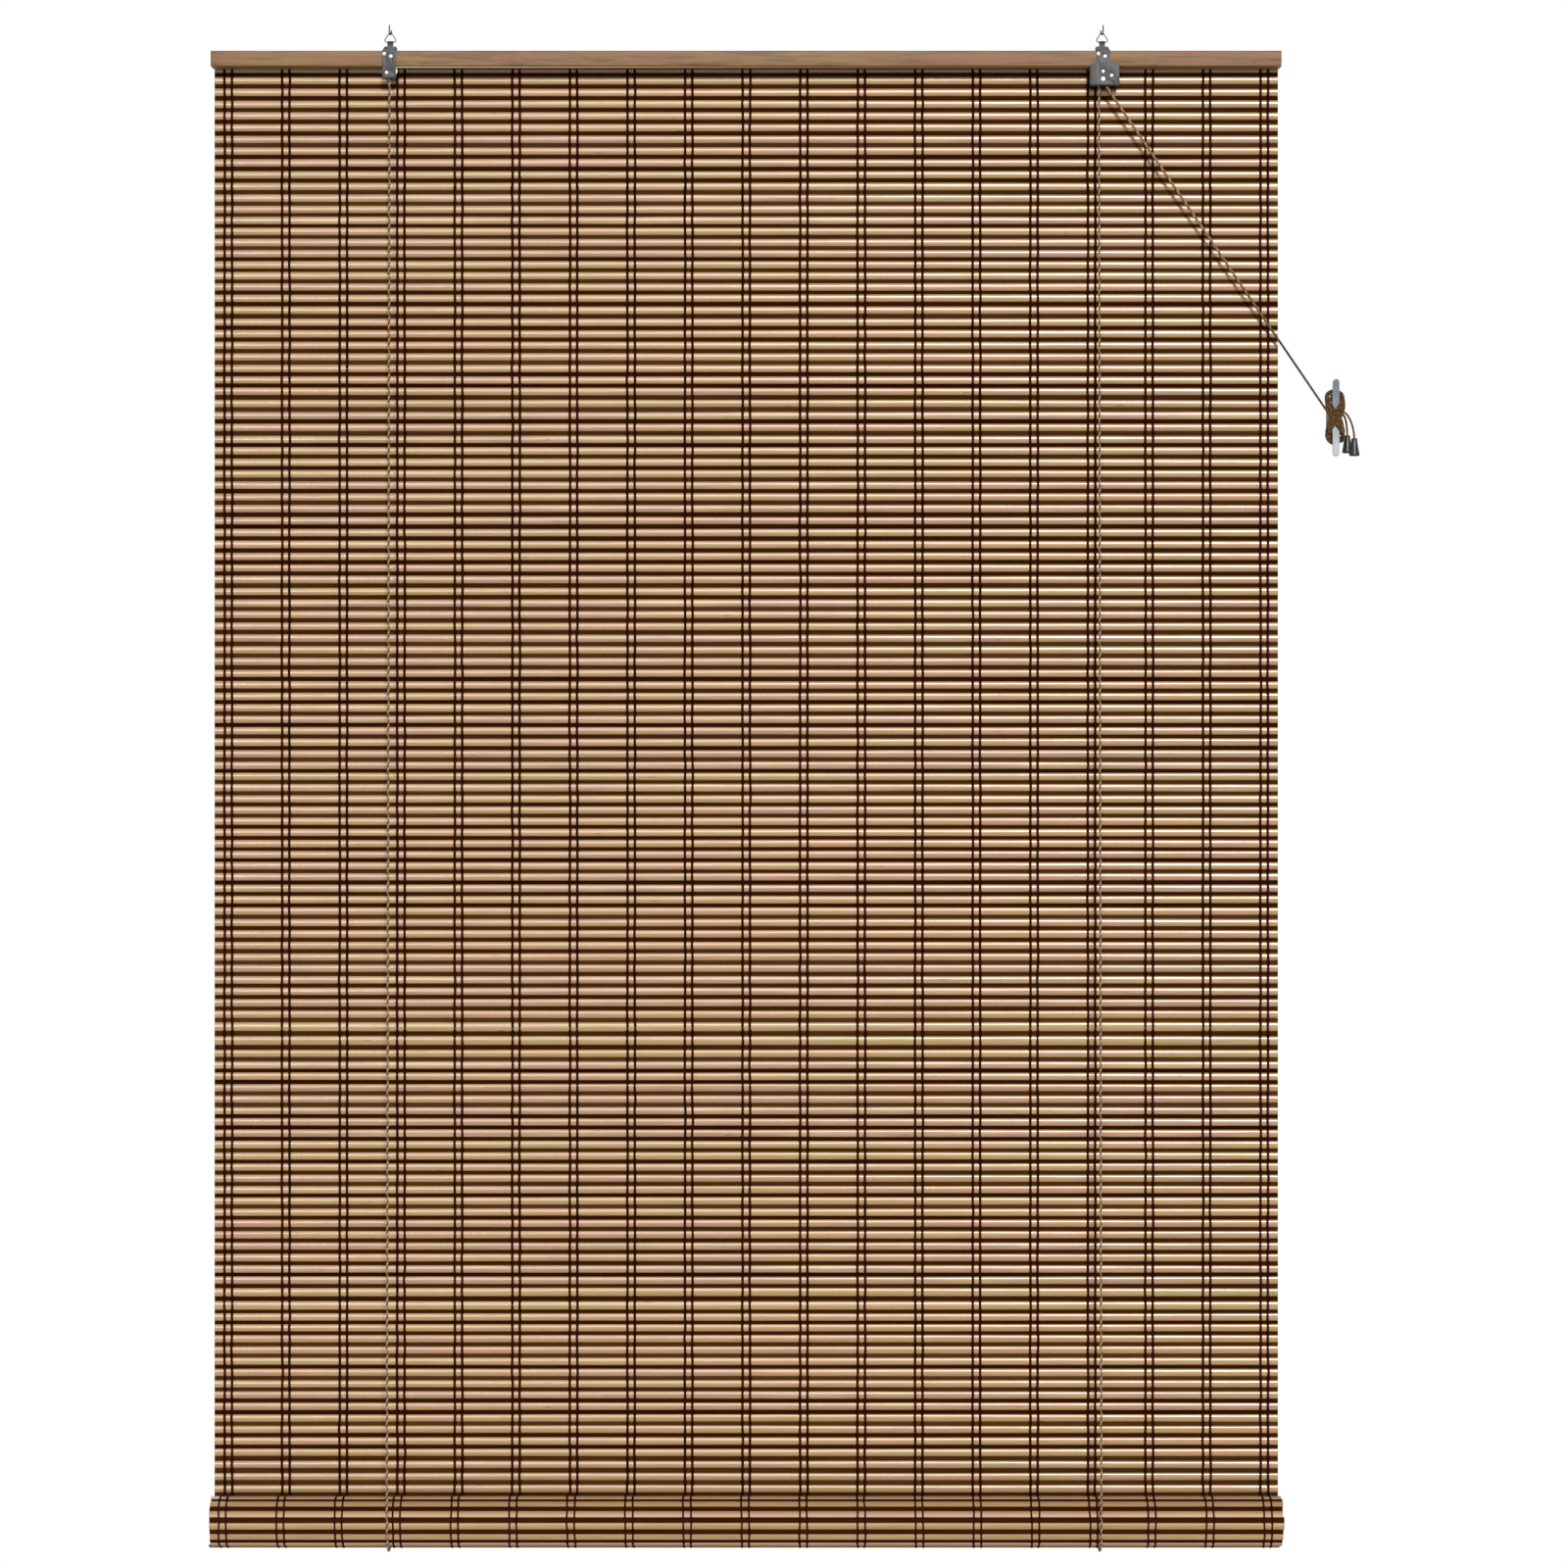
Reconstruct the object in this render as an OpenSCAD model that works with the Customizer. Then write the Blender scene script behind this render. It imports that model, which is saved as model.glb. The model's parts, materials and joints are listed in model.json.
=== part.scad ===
/* [Headrail] */
// Width of the wooden headrail
rail_w = 1200; // [1000:10:1600]
// Depth of the headrail, front to back
rail_d = 25; // [20:0.5:36]
// Height of the headrail
rail_h = 17.5; // [14:0.5:30]
// Rounding of the headrail's long edges
rail_round = 1; // [0.5:0.1:2]

/* [Bamboo mat] */
// How far the mat stops short of the headrail's ends
mat_inset = 1.5; // [0:0.5:8]
// Rows of slats that hang above the roll
mat_rows = 127; // [60:1:140]
// Distance from one slat to the next
slat_pitch = 13; // [12.6:0.1:15]
// Height of one bamboo slat
slat_w = 8.6; // [7:0.1:9.2]
// Thickness of one bamboo slat
slat_t = 3.6; // [2.6:0.1:5]
// Height of the dark stick between two slats
stick_w = 3.2; // [2:0.1:3.6]
// Thickness of the dark stick
stick_t = 2.2; // [1.2:0.1:2.6]
// Thickness of the woven web that joins slats and sticks
web_t = 0.8; // [0.5:0.1:1.1]

/* [Weave strings] */
// Pairs of strings across the mat
string_pairs = 19; // [9:1:25]
// Distance between the two strings of a pair
pair_gap = 8.3; // [5:0.1:14]
// Distance from the mat's side to the middle of the first pair
string_edge = 15.5; // [10:0.5:40]
// Width of one string
string_w = 1.4; // [0.8:0.1:2]
// Thickness of one string, lying on the slats
string_t = 0.35; // [0.2:0.05:0.4]

/* [Bottom roll] */
// Outer diameter of the roll
roll_d = 62.4; // [50:0.2:90]
// How far the roll, whose turns stand a little out of line, passes the mat's sides
roll_out = 3.5; // [0:0.5:8]
// Diameter of the rod in the middle of the roll
rod_d = 14; // [10:0.5:20]
// Least air between two turns of the roll
roll_gap = 0.8; // [0.7:0.1:1.5]

/* [Brackets] */
// Distance of the hanging points from the headrail's ends
hang_in = 200; // [60:5:400]
// Thickness of the bracket steel
plate_t = 1.2; // [0.8:0.1:2]
// Width of a bracket strap
plate_w = 15.4; // [13:0.2:22]
// Corner rounding of the bracket plates
plate_round = 2.5; // [1:0.1:2.6]
// Edge of plate left around a pin
plate_edge = 3; // [2.4:0.1:6]
// How far behind the headrail's middle the brackets' eyes stand
eye_back = 6; // [0:0.5:9]
// Height of the eye's middle above the headrail
eye_h = 12; // [10:0.5:20]
// Width of the neck that carries the eye
neck_w = 6.6; // [5:0.2:7.4]
// Diameter of a wood screw's shank
screw_d = 2.2; // [1.6:0.1:3]
// Length of a wood screw below its head
screw_len = 11; // [8:0.5:14]
// Diameter of a wood screw's head
screw_head_d = 4.2; // [3.6:0.1:5]

/* [Pulleys and lock] */
// Radius of the left pulley at the middle of the cord
pulley_r = 3.7; // [3.4:0.1:6]
// Radius of the lock's pulleys at the middle of the cord
lock_r = 4.2; // [3.9:0.1:6]
// Thickness of a pulley
wheel_t = 4.4; // [4:0.1:6]
// Diameter of the pulleys' axles
axle_d = 2.5; // [2:0.1:2.8]
// Offset of the left pulley towards the lock
pulley_side = 4; // [2:0.1:6]
// Width of the lock's plates on the left of its axle
lock_left = 14.5; // [12:0.5:20]
// Width of the lock's plates on the right of its axle
lock_right = 18.5; // [18:0.5:26]
// How far the lock's plates reach below the headrail
lock_drop = 21.3; // [20.5:0.1:30]
// Reach of the cam's toothed jaw from its pin
jaw_reach = 3.6; // [3.4:0.1:5]
// Length of the cam's toothed jaw
jaw_len = 6; // [4:0.1:6]
// Length of the cam's tail
tail_len = 8; // [5:0.1:8]
// Diameter of the cam's pin
cam_pin_d = 2; // [1.6:0.1:2.4]

/* [Rings and hooks] */
// Wire diameter of a ring
ring_wire = 1.3; // [1:0.1:1.6]
// Height of a ring between the middles of its wires
ring_h = 10.3; // [9:0.1:16]
// Straight length of a ring's bottom bar
ring_bar = 7.8; // [7.2:0.1:12]
// Bend radius of a ring's corners
ring_bend = 2.2; // [2:0.1:3]
// Wire diameter of a hook
hook_wire = 1.6; // [1.2:0.1:1.8]
// Bend radius of a hook
hook_bend = 2.8; // [2.6:0.1:4]
// Turn of a hook out of the plane of the blind
hook_turn = 60; // [50:5:90]
// Shank of a hook below the lintel
hook_shank = 3.2; // [2:0.1:12]
// Threaded length of a hook
thread_len = 6; // [4:0.5:30]
// Straight end of a hook past its bend
hook_tip = 1; // [0.5:0.1:1.5]

/* [Cords] */
// Diameter of the cords
cord_d = 2.8; // [2.2:0.1:3]
// Clearance between pieces that move past each other
clear = 0.3; // [0.2:0.05:0.4]
// Clearance of a turning piece on its pin, all round
run = 0.05; // [0.02:0.01:0.1]

/* [Cleat] */
// Distance of the cleat from the blind's side
cleat_out = 60.5; // [30:0.5:120]
// Depth of the cleat's middle below the lintel
cleat_down = 437; // [300:1:900]
// Length of the cleat over its horns
cleat_len = 87; // [80:1:110]
// Width of the cleat's horns
cleat_w = 8; // [7:0.1:10]
// Depth of the cleat from the wall to its horn tips
cleat_depth = 24; // [22:0.5:30]
// Thickness of a horn where it leaves the post
horn_t = 7; // [5:0.1:8]
// How far the horn tips curve away from the wall
horn_rise = 3; // [0:0.1:5]
// Length of the cleat's post
post_len = 22; // [20:0.5:26]
// Length of the cleat's foot
foot_len = 34; // [28:1:40]
// Width of the cleat's foot
foot_w = 18; // [12:0.5:20]
// Thickness of the cleat's foot
foot_t = 3; // [2:0.1:4]
// Distance between the cleat's screws
cleat_pitch = 11; // [9:0.5:12]
// Diameter of the cleat's screws
cleat_screw_d = 3.4; // [2.6:0.1:3.6]
// Length of the cleat's screws in the wall
cleat_screw_in = 16; // [10:1:30]
// Free space between the mat's back and the wall
wall_gap = 6; // [4.5:0.5:12]
// Width of the cord winding on the cleat
wind_w = 21; // [18:0.5:21]
// Length of the cord winding on the cleat
wind_len = 57; // [50:1:66]

/* [Tassels] */
// Diameter of a tassel at its rim
tassel_d = 12; // [10:0.2:12.6]
// Diameter of a tassel at its top
tassel_top_d = 6.4; // [5.6:0.2:9]
// Height of a tassel
tassel_h = 20; // [14:0.5:30]
// Wall of a tassel
tassel_wall = 1.2; // [0.8:0.1:1.6]

/* [Hidden] */
$fn = 48;
over = 0.5;

// The hooks hang from the lintel at z = 0, with their shanks on the line y = 0
cord_r = cord_d / 2;
ring_r = ring_wire / 2;
hook_r = hook_wire / 2;
hook_side = hook_bend * cos(hook_turn);
ring_y = -hook_bend * sin(hook_turn);
hook_low = -hook_shank - hook_bend;
apex_z = hook_low + hook_r + clear + ring_r;
bar_z = apex_z - ring_h;
cone_share = 0.3;
bend_share = 0.98;

// The headrail hangs below the ring bars, a little in front of them
rail_top = bar_z - eye_h;
rail_bottom = rail_top - rail_h;
rail_y = ring_y - eye_back;
rail_front = rail_y - rail_d / 2;
rail_back = rail_y + rail_d / 2;

// The mat hangs behind the headrail and its lower end is rolled up in front
mat_w = rail_w - 2 * mat_inset;
mat_y = rail_back + clear + slat_t / 2;
mat_back = mat_y + slat_t / 2;
mat_end = rail_top - (mat_rows - 1) * slat_pitch - slat_w;
roll_w = mat_w + 2 * roll_out;
roll_r = roll_d / 2;
roll_y = mat_back - roll_r;
roll_z = mat_end - clear;
pair_pitch = (mat_w - 2 * string_edge) / (string_pairs - 1);

// The mat's front has rounded slats and peaked sticks, its back has bevelled slats
front_angles = [90, 45, 0, -45, -90];
stick_angles = [90, 0, -90];
bevel_share = 0.3;

// The roll is a spiral strip that winds its rows from the outside to the rod
spiral_out = roll_r - slat_t / 2;
spiral_in = rod_d / 2 + clear + slat_t / 2;
spiral_area = PI * (spiral_out * spiral_out - spiral_in * spiral_in);
roll_rows = floor(spiral_area / (slat_t + roll_gap) / slat_pitch);
spiral_fall = spiral_area / (2 * PI * roll_rows * slat_pitch);

// Cord planes and the pulleys below the headrail
axle_r = axle_d / 2;
front_y = rail_front + clear + wheel_t / 2;
rear_y = front_y + wheel_t + clear;
head_z = rail_bottom - clear - cord_r;
lock_x = rail_w / 2 - hang_in;
left_x = -lock_x;
pulley_x = left_x + pulley_side;
pulley_z = head_z - pulley_r;
lock_z = head_z - lock_r;
left_lift_x = pulley_x - pulley_r;
right_lift_x = lock_x - lock_r;
pull_x = lock_x + lock_r;
cheek_top = rail_bottom - clear;
left_cheek_y = front_y + wheel_t / 2 + clear;
lock_cheek_y = rear_y + wheel_t / 2 + clear;
left_low = pulley_z - pulley_r - cord_r - plate_edge;
lock_low = rail_bottom - lock_drop;
lock_high = rail_bottom + plate_edge;
rivet_r = axle_r + plate_t / 2;
rivet_h = plate_t / 2;
keeper_r = axle_r;
keeper_x = left_lift_x - cord_r - clear - keeper_r;
keeper_z = pulley_z - pulley_r / 2;
post_r = lock_r - cord_r - clear;
post_z = lock_z - lock_r - cord_r - clear - post_r;
cam_x = pull_x + cord_r + clear + jaw_reach;
cam_z = post_z + jaw_reach + clear;
cam_hub_share = 1.8;
cam_hub_r = cam_pin_d / 2 + plate_t * cam_hub_share;
cam_teeth = 5;
tooth_depth_share = 0.4;
tail_h_share = 1.5;
tail_h = cam_pin_d * tail_h_share;
spacer_r = cam_pin_d / 2;
spacer_x = cam_x + plate_edge;
spacer_z = lock_low + plate_edge;
shoulder_z = bar_z - ring_r - clear - plate_w / 4;
eye_bore = ring_r + run;
eye_r = eye_bore + plate_t / 2;
screw_x_shares = [-0.34, 0.14];
screw_z_shares = [0.21, 0.37];
screw_head_h = screw_head_d / 4;

// The slings carry the roll, and the rear cords go up behind the mat to the headrail
sling_r = roll_r + string_t + clear + cord_r;
rear_cord_y = roll_y + sling_r;
knot_z = rail_top - slat_w / 4;
knot_r = cord_d;
staple_wire = 0.8;
staple_leg = 7;
staple_z = rail_top - slat_w / 2;
cord_staple_z = knot_z - knot_r - staple_wire;

// The cleat stands on the wall beside the blind, with the pull cords wound on it
wall_y = mat_back + wall_gap;
cleat_x = max(rail_w, roll_w) / 2 + cleat_out;
cleat_z = -cleat_down;
horn_y = wall_y - cleat_depth;
horn_steps = 8;
taper_share = 0.45;
narrow_share = 0.12;
cleat_screw_r = cleat_screw_d / 2;
cleat_thread_r = cleat_screw_r - plate_t / 2;
cleat_head_r = cleat_w / 2 - plate_t;
cleat_head_h = cleat_screw_r;
sink_y = horn_y + horn_rise + horn_t / 2;
wind_front = horn_y - cord_d;
wind_back = horn_y + horn_rise + horn_t + 2 * cord_d;
wind_at = [cleat_x, (wind_front + wind_back) / 2, cleat_z];

// The pull cords run straight from the lock to the winding on the cleat
exit_z = lock_low - cord_r;
pull_end = wind_at + [cord_r - wind_w / 2, 0, post_len / 2];
pull_front_route = [[pull_x, front_y, exit_z], pull_end - [0, cord_d, 0]];
pull_rear_route = [[pull_x, rear_y, exit_z], pull_end + [0, cord_d, 0]];

// Bends of the cord tails, counted from the middle of the winding, which end in the tassels
tail_front_bends = [[8, -4, 10], [13, -4, 8], [17, -4, 2], [19.5, -4, -6], [20.5, -4, -14]];
tail_rear_bends = [[8, 4, 10], [10.5, 5, 8], [12.5, 7, 1], [14, 8.5, -7], [14, 8.5, -14]];
tassel_front_at = wind_at + [20.5, -4, -23];
tassel_rear_at = wind_at + [14, 8.5, -19];
tassel_roof = 2 * tassel_wall;
tassel_hole_r = cord_r + run;
tassel_knot_r = tassel_top_d / 2 - tassel_wall - run;

cord_sides = 8;
arc_step = 15;

// Shapes that repeat

// A plate in the plane of the blind, from y to y + t, with its outline in x and z
module upright(y, t) {
    translate([0, y + t, 0]) rotate([90, 0, 0]) linear_extrude(t) children();
}

// A bar along x, centred on the blind, with its outline in y and z
module crosswise(length, x = 0) {
    translate([x - length / 2, 0, 0]) rotate([90, 0, 90]) linear_extrude(length) children();
}

// A round pin along y
module pin_y(x, y, z, r, length) {
    translate([x, y, z]) rotate([-90, 0, 0]) cylinder(h = length, r = r);
}

// A rectangle with round corners, from its lowest to its highest corner
module rounded(low, high, r) {
    size = high - low;
    translate([low.x + r, low.y]) square([size.x - 2 * r, size.y]);
    translate([low.x, low.y + r]) square([size.x, size.y - 2 * r]);
    for (x = [low.x + r, high.x - r], y = [low.y + r, high.y - r]) translate([x, y]) circle(r);
}

// A pin along y with a round rivet head at each end
module rivet(x, z, r, head_r, front, back) {
    pin_y(x, front, z, r, back - front);
    pin_y(x, front - rivet_h, z, head_r, rivet_h);
    pin_y(x, back, z, head_r, rivet_h);
}

// A grooved pulley on an axle along y
module pulley(x, y, z, pitch_r) {
    rim = pitch_r + cord_r;
    floor_r = pitch_r - cord_r - clear;
    groove = cord_r + clear;
    half = wheel_t / 2;
    translate([x, y, z]) rotate([90, 0, 0]) rotate_extrude() polygon([
        [axle_r + run, -half], [rim, -half], [rim, -groove], [floor_r, -groove],
        [floor_r, groove], [rim, groove], [rim, half], [axle_r + run, half]]);
}

function unit(v) = v / norm(v);
function heading(p, i) = unit(p[min(i + 1, len(p) - 1)] - p[max(i - 1, 0)]);
function circle_at(c, t, side, r) = let (u = unit(cross(t, side)), v = cross(t, u))
    [for (k = [0 : cord_sides - 1]) c + r * cos(360 * k / cord_sides) * u + r * sin(360 * k / cord_sides) * v];

// A cord or wire swept along a route, where side is a direction that the route never takes
module cord(p, side, r = cord_r) {
    n = cord_sides;
    last = (len(p) - 1) * n;
    rings = [for (i = [0 : len(p) - 1]) each circle_at(p[i], heading(p, i), side, r)];
    walls = [for (i = [0 : len(p) - 2], k = [0 : n - 1]) let (a = i * n + k, b = i * n + (k + 1) % n)
        each [[a, a + n, b + n], [a, b + n, b]]];
    polyhedron(rings, concat(
        [[for (k = [0 : n - 1]) k]], walls, [[for (k = [n - 1 : -1 : 0]) last + k]]), convexity = 4);
}

// An arc of a cord round a pulley, in the plane of the blind
function wrap(x, y, z, r, from, to) = let (steps = ceil(abs(to - from) / arc_step))
    [for (i = [0 : steps]) let (a = from + (to - from) * i / steps) [x + r * cos(a), y, z + r * sin(a)]];

// Headrail

module screw_places() {
    for (side = [left_x, lock_x], i = [0, 1])
        translate([side + screw_x_shares[i] * plate_w, 0, rail_top - screw_z_shares[i] * rail_h]) children();
}

// A planed batten with slightly rounded edges, drilled for the bracket screws
module headrail() {
    color("tan") difference() {
        crosswise(rail_w)
            rounded([rail_front, rail_bottom], [rail_back, rail_top], rail_round);
        screw_places() pin_y(0, rail_front - over, 0, screw_d / 2, screw_len - plate_t + over);
    }
}

// Bamboo mat

function slat_front(z) = [for (a = front_angles)
    [mat_y - max(web_t, slat_t * cos(a)) / 2, z + slat_w / 2 * sin(a)]];
function stick_front(z) = [for (a = stick_angles)
    [mat_y - max(web_t, stick_t * cos(a)) / 2, z + stick_w / 2 * sin(a)]];
function slat_back(z) = [for (s = [-1, 1]) let (edge = z + s * slat_w / 2, crest = edge - s * bevel_share * slat_t)
    each s < 0 ? [[mat_y + web_t / 2, edge], [mat_back, crest]] : [[mat_back, crest], [mat_y + web_t / 2, edge]]];
function row_z(k) = rail_top - slat_w / 2 - k * slat_pitch;

// One woven wall: a rounded ridge for each slat and a slim one for each dark stick
module slat_mat() {
    front = [for (k = [0 : mat_rows - 1])
        each concat(slat_front(row_z(k)), k < mat_rows - 1 ? stick_front(row_z(k) - slat_pitch / 2) : [])];
    back = [for (k = [mat_rows - 1 : -1 : 0]) each slat_back(row_z(k))];
    color("burlywood") crosswise(mat_w) polygon(concat(front, back));
}

// The strings lie on the slats, in front and behind, and hold them in pairs
module weave_strings() {
    front_top = rail_bottom - clear;
    color("#2e1c10") for (i = [0 : string_pairs - 1], s = [-1, 1])
        translate([-mat_w / 2 + string_edge + i * pair_pitch + s * pair_gap / 2 - string_w / 2, 0, 0]) {
            translate([0, mat_y - slat_t / 2 - string_t, mat_end])
                cube([string_w, string_t, front_top - mat_end]);
            translate([0, mat_back, mat_end]) cube([string_w, string_t, rail_top - mat_end]);
        }
}

// A wire staple with its crown behind the given plane and its legs pointing forward
module staple(x, y, z, crown, leg) {
    translate([x - crown / 2, y, z - staple_wire / 2]) {
        cube([crown, staple_wire, staple_wire]);
        for (side = [0, crown - staple_wire])
            translate([side, -leg, 0]) cube([staple_wire, leg + staple_wire, staple_wire]);
    }
}

// The top slat is stapled to the headrail, between the strings of every second pair
module mat_staples() {
    crown = pair_gap - string_w - 2 * clear;
    color("silver") for (i = [1 : 2 : string_pairs - 2])
        staple(string_edge + i * pair_pitch - mat_w / 2, mat_back, staple_z, crown, staple_leg);
}

// Bottom roll

// Radius and turn, in degrees, of the spiral at a length of mat from its outer end
function spiral_radius(s) = sqrt(spiral_out * spiral_out - s / (roll_rows * slat_pitch) * spiral_area / PI);
function spiral_turn(s) = (spiral_out - spiral_radius(s)) / spiral_fall / PI * 180;
function spiral_point(s, out) = let (a = spiral_turn(s), r = spiral_radius(s) + out)
    [roll_y + r * cos(a), roll_z - r * sin(a)];
function roll_face(k, side) = let (s = (k + 1) * slat_pitch - slat_w, bevel = bevel_share * slat_t) [
    spiral_point(s, side * web_t / 2), spiral_point(s + bevel, side * slat_t / 2),
    spiral_point(s + slat_w / 2, side * slat_t / 2),
    spiral_point(s + slat_w - bevel, side * slat_t / 2), spiral_point(s + slat_w, side * web_t / 2)];

// The rolled-up end of the mat: one spiral strip of bevelled slats
module bottom_roll() {
    outer = [for (k = [0 : roll_rows - 1]) each roll_face(k, 1)];
    inner = [for (k = [roll_rows - 1 : -1 : 0]) let (f = roll_face(k, -1)) each [for (i = [4 : -1 : 0]) f[i]]];
    color("burlywood") crosswise(roll_w) polygon(concat(
        [spiral_point(0, web_t / 2)], outer, inner, [spiral_point(0, -web_t / 2)]));
}

// The rod that the mat is rolled on
module bottom_rod() {
    color("peru") crosswise(mat_w) translate([roll_y, roll_z]) circle(rod_d / 2);
}

// Left bracket

// A strap from the headrail's front over its top, turned up into a neck with a rolled eye
module hanger(x) {
    translate([x, 0, 0]) {
        crosswise(plate_w) {
            translate([rail_front - plate_t, rail_top - plate_edge]) square([plate_t, plate_edge]);
            translate([rail_front, rail_top]) square([ring_y + plate_t / 2 - rail_front, plate_t]);
            translate([rail_front, rail_top]) intersection() {
                circle(plate_t);
                translate([-plate_t, 0]) square(plate_t);
            }
        }
        upright(ring_y - plate_t / 2, plate_t) {
            rounded([-plate_w / 2, rail_top], [plate_w / 2, shoulder_z], plate_round);
            translate([-plate_w / 2, rail_top]) square([plate_w, plate_round]);
            translate([-neck_w / 2, rail_top]) square([neck_w, bar_z - rail_top]);
        }
        crosswise(neck_w) translate([ring_y, bar_z]) circle(eye_r);
    }
}

module eye_hole(x) {
    crosswise(neck_w + 2 * over, x) translate([ring_y, bar_z]) circle(eye_bore);
}

module screw_holes() {
    screw_places() pin_y(0, rail_front - plate_t - over, 0, screw_d / 2, plate_t + 2 * over);
}

// Stamped steel: hanger, front plate and the holes for screws, axle and keeper
module left_bracket() {
    color("slategray") difference() {
        union() {
            hanger(left_x);
            upright(rail_front - plate_t, plate_t) {
                rounded([left_x - plate_w / 2, left_low], [left_x + plate_w / 2, rail_top - plate_edge / 2], plate_round);
                translate([left_x - plate_w / 2, rail_top - plate_edge - plate_round])
                    square([plate_w, plate_edge + plate_round]);
            }
        }
        eye_hole(left_x);
        screw_holes();
        pin_y(pulley_x, rail_front - plate_t - over, pulley_z, axle_r, plate_t + 2 * over);
        pin_y(keeper_x, rail_front - plate_t - over, keeper_z, keeper_r, plate_t + 2 * over);
    }
}

// The plate behind the left pulley
module left_cheek() {
    color("slategray") difference() {
        upright(left_cheek_y, plate_t)
            rounded([left_x - plate_w / 2, left_low], [left_x + plate_w / 2, cheek_top], plate_round);
        pin_y(pulley_x, left_cheek_y - over, pulley_z, axle_r, plate_t + 2 * over);
        pin_y(keeper_x, left_cheek_y - over, keeper_z, keeper_r, plate_t + 2 * over);
    }
}

module left_pulley() {
    color("whitesmoke") pulley(pulley_x, front_y, pulley_z, pulley_r);
}

module left_axle() {
    color("silver") rivet(pulley_x, pulley_z, axle_r, rivet_r, rail_front - plate_t, left_cheek_y + plate_t);
}

// The rivet that keeps the cord on the left pulley
module left_keeper() {
    color("silver") rivet(keeper_x, keeper_z, keeper_r, rivet_r, rail_front - plate_t, left_cheek_y + plate_t);
}

// Cord lock

// Centres of the lock's pins with their radii: axle, guide post, cam pin and spacer
lock_pins = [[lock_x, lock_z, axle_r], [lock_x, post_z, axle_r], [cam_x, cam_z, cam_pin_d / 2],
    [spacer_x, spacer_z, spacer_r]];

module lock_holes(y) {
    for (p = lock_pins) pin_y(p[0], y - over, p[1], p[2], plate_t + 2 * over);
}

// Stamped steel: hanger, narrow strap and the wide front plate of the lock
module lock_bracket() {
    color("slategray") difference() {
        union() {
            hanger(lock_x);
            upright(rail_front - plate_t, plate_t) {
                translate([lock_x - plate_w / 2, lock_high - plate_round])
                    square([plate_w, rail_top - lock_high + plate_round]);
                rounded([lock_x - lock_left, lock_low], [lock_x + lock_right, lock_high], plate_round);
            }
        }
        eye_hole(lock_x);
        screw_holes();
        lock_holes(rail_front - plate_t);
    }
}

// The plate behind the lock's pulleys
module lock_cheek() {
    color("slategray") difference() {
        upright(lock_cheek_y, plate_t)
            rounded([lock_x - lock_left, lock_low], [lock_x + lock_right, cheek_top], plate_round);
        lock_holes(lock_cheek_y);
    }
}

module lock_pulley_front() {
    color("whitesmoke") pulley(lock_x, front_y, lock_z, lock_r);
}

module lock_pulley_rear() {
    color("whitesmoke") pulley(lock_x, rear_y, lock_z, lock_r);
}

// A riveted pin between the lock's two plates
module lock_rivet(p, head_r) {
    rivet(p[0], p[1], p[2], head_r, rail_front - plate_t, lock_cheek_y + plate_t);
}

module lock_axle() {
    color("silver") lock_rivet(lock_pins[0], rivet_r);
}

// The fixed post that the cam presses the cords against
module guide_post() {
    color("silver") {
        lock_rivet(lock_pins[1], rivet_r);
        pin_y(lock_x, rail_front, post_z, post_r, lock_cheek_y - rail_front);
    }
}

// A toothed jaw that grips the cords, with a tail that weighs it shut
module lock_cam() {
    pitch = jaw_len / cam_teeth;
    depth = tooth_depth_share * pitch;
    teeth = [for (i = [0 : cam_teeth - 1]) each [[-jaw_reach + depth, -i * pitch], [-jaw_reach, -(i + 1) * pitch]]];
    color("goldenrod") difference() {
        upright(rail_front + clear, lock_cheek_y - rail_front - 2 * clear) translate([cam_x, cam_z]) {
            circle(cam_hub_r);
            polygon(concat(teeth, [[0, -jaw_len], [cam_hub_r, 0], [0, 0]]));
            translate([0, -tail_h / 2]) square([tail_len - tail_h / 2, tail_h]);
            translate([tail_len - tail_h / 2, 0]) circle(tail_h / 2);
        }
        pin_y(cam_x, rail_front, cam_z, cam_pin_d / 2 + run, lock_cheek_y - rail_front);
    }
}

module cam_pin() {
    color("silver") lock_rivet(lock_pins[2], rivet_r);
}

module lock_spacer() {
    color("silver") lock_rivet(lock_pins[3], rivet_r);
}

// Round-headed wood screws through the brackets into the headrail
module bracket_screws() {
    color("silver") screw_places() {
        pin_y(0, rail_front - plate_t, 0, screw_d / 2, screw_len);
        pin_y(0, rail_front - plate_t - screw_head_h, 0, screw_head_d / 2, screw_head_h);
    }
}

// Rings and hooks

// A bent wire triangle, with its straight bar in the bracket's eye and its top in the hook
module ring(x) {
    side = ring_bar / 2;
    lean = atan2(side, ring_h - 2 * ring_bend);
    low = bar_z + ring_bend;
    bend = concat(
        [[side - ring_r, ring_y, bar_z]],
        wrap(side, ring_y, low, ring_bend, -90, lean),
        wrap(0, ring_y, apex_z - ring_bend, ring_bend, lean, 180 - lean),
        wrap(-side, ring_y, low, ring_bend, 180 - lean, 270),
        [[ring_r - side, ring_y, bar_z]]);
    translate([x, 0, 0]) {
        crosswise(ring_bar) translate([ring_y, bar_z]) circle(ring_r);
        cord(bend, [0, 1, 0], bend_share * ring_r);
    }
}

module left_ring() {
    color("gray") ring(left_x);
}

module right_ring() {
    color("gray") ring(lock_x);
}

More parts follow.
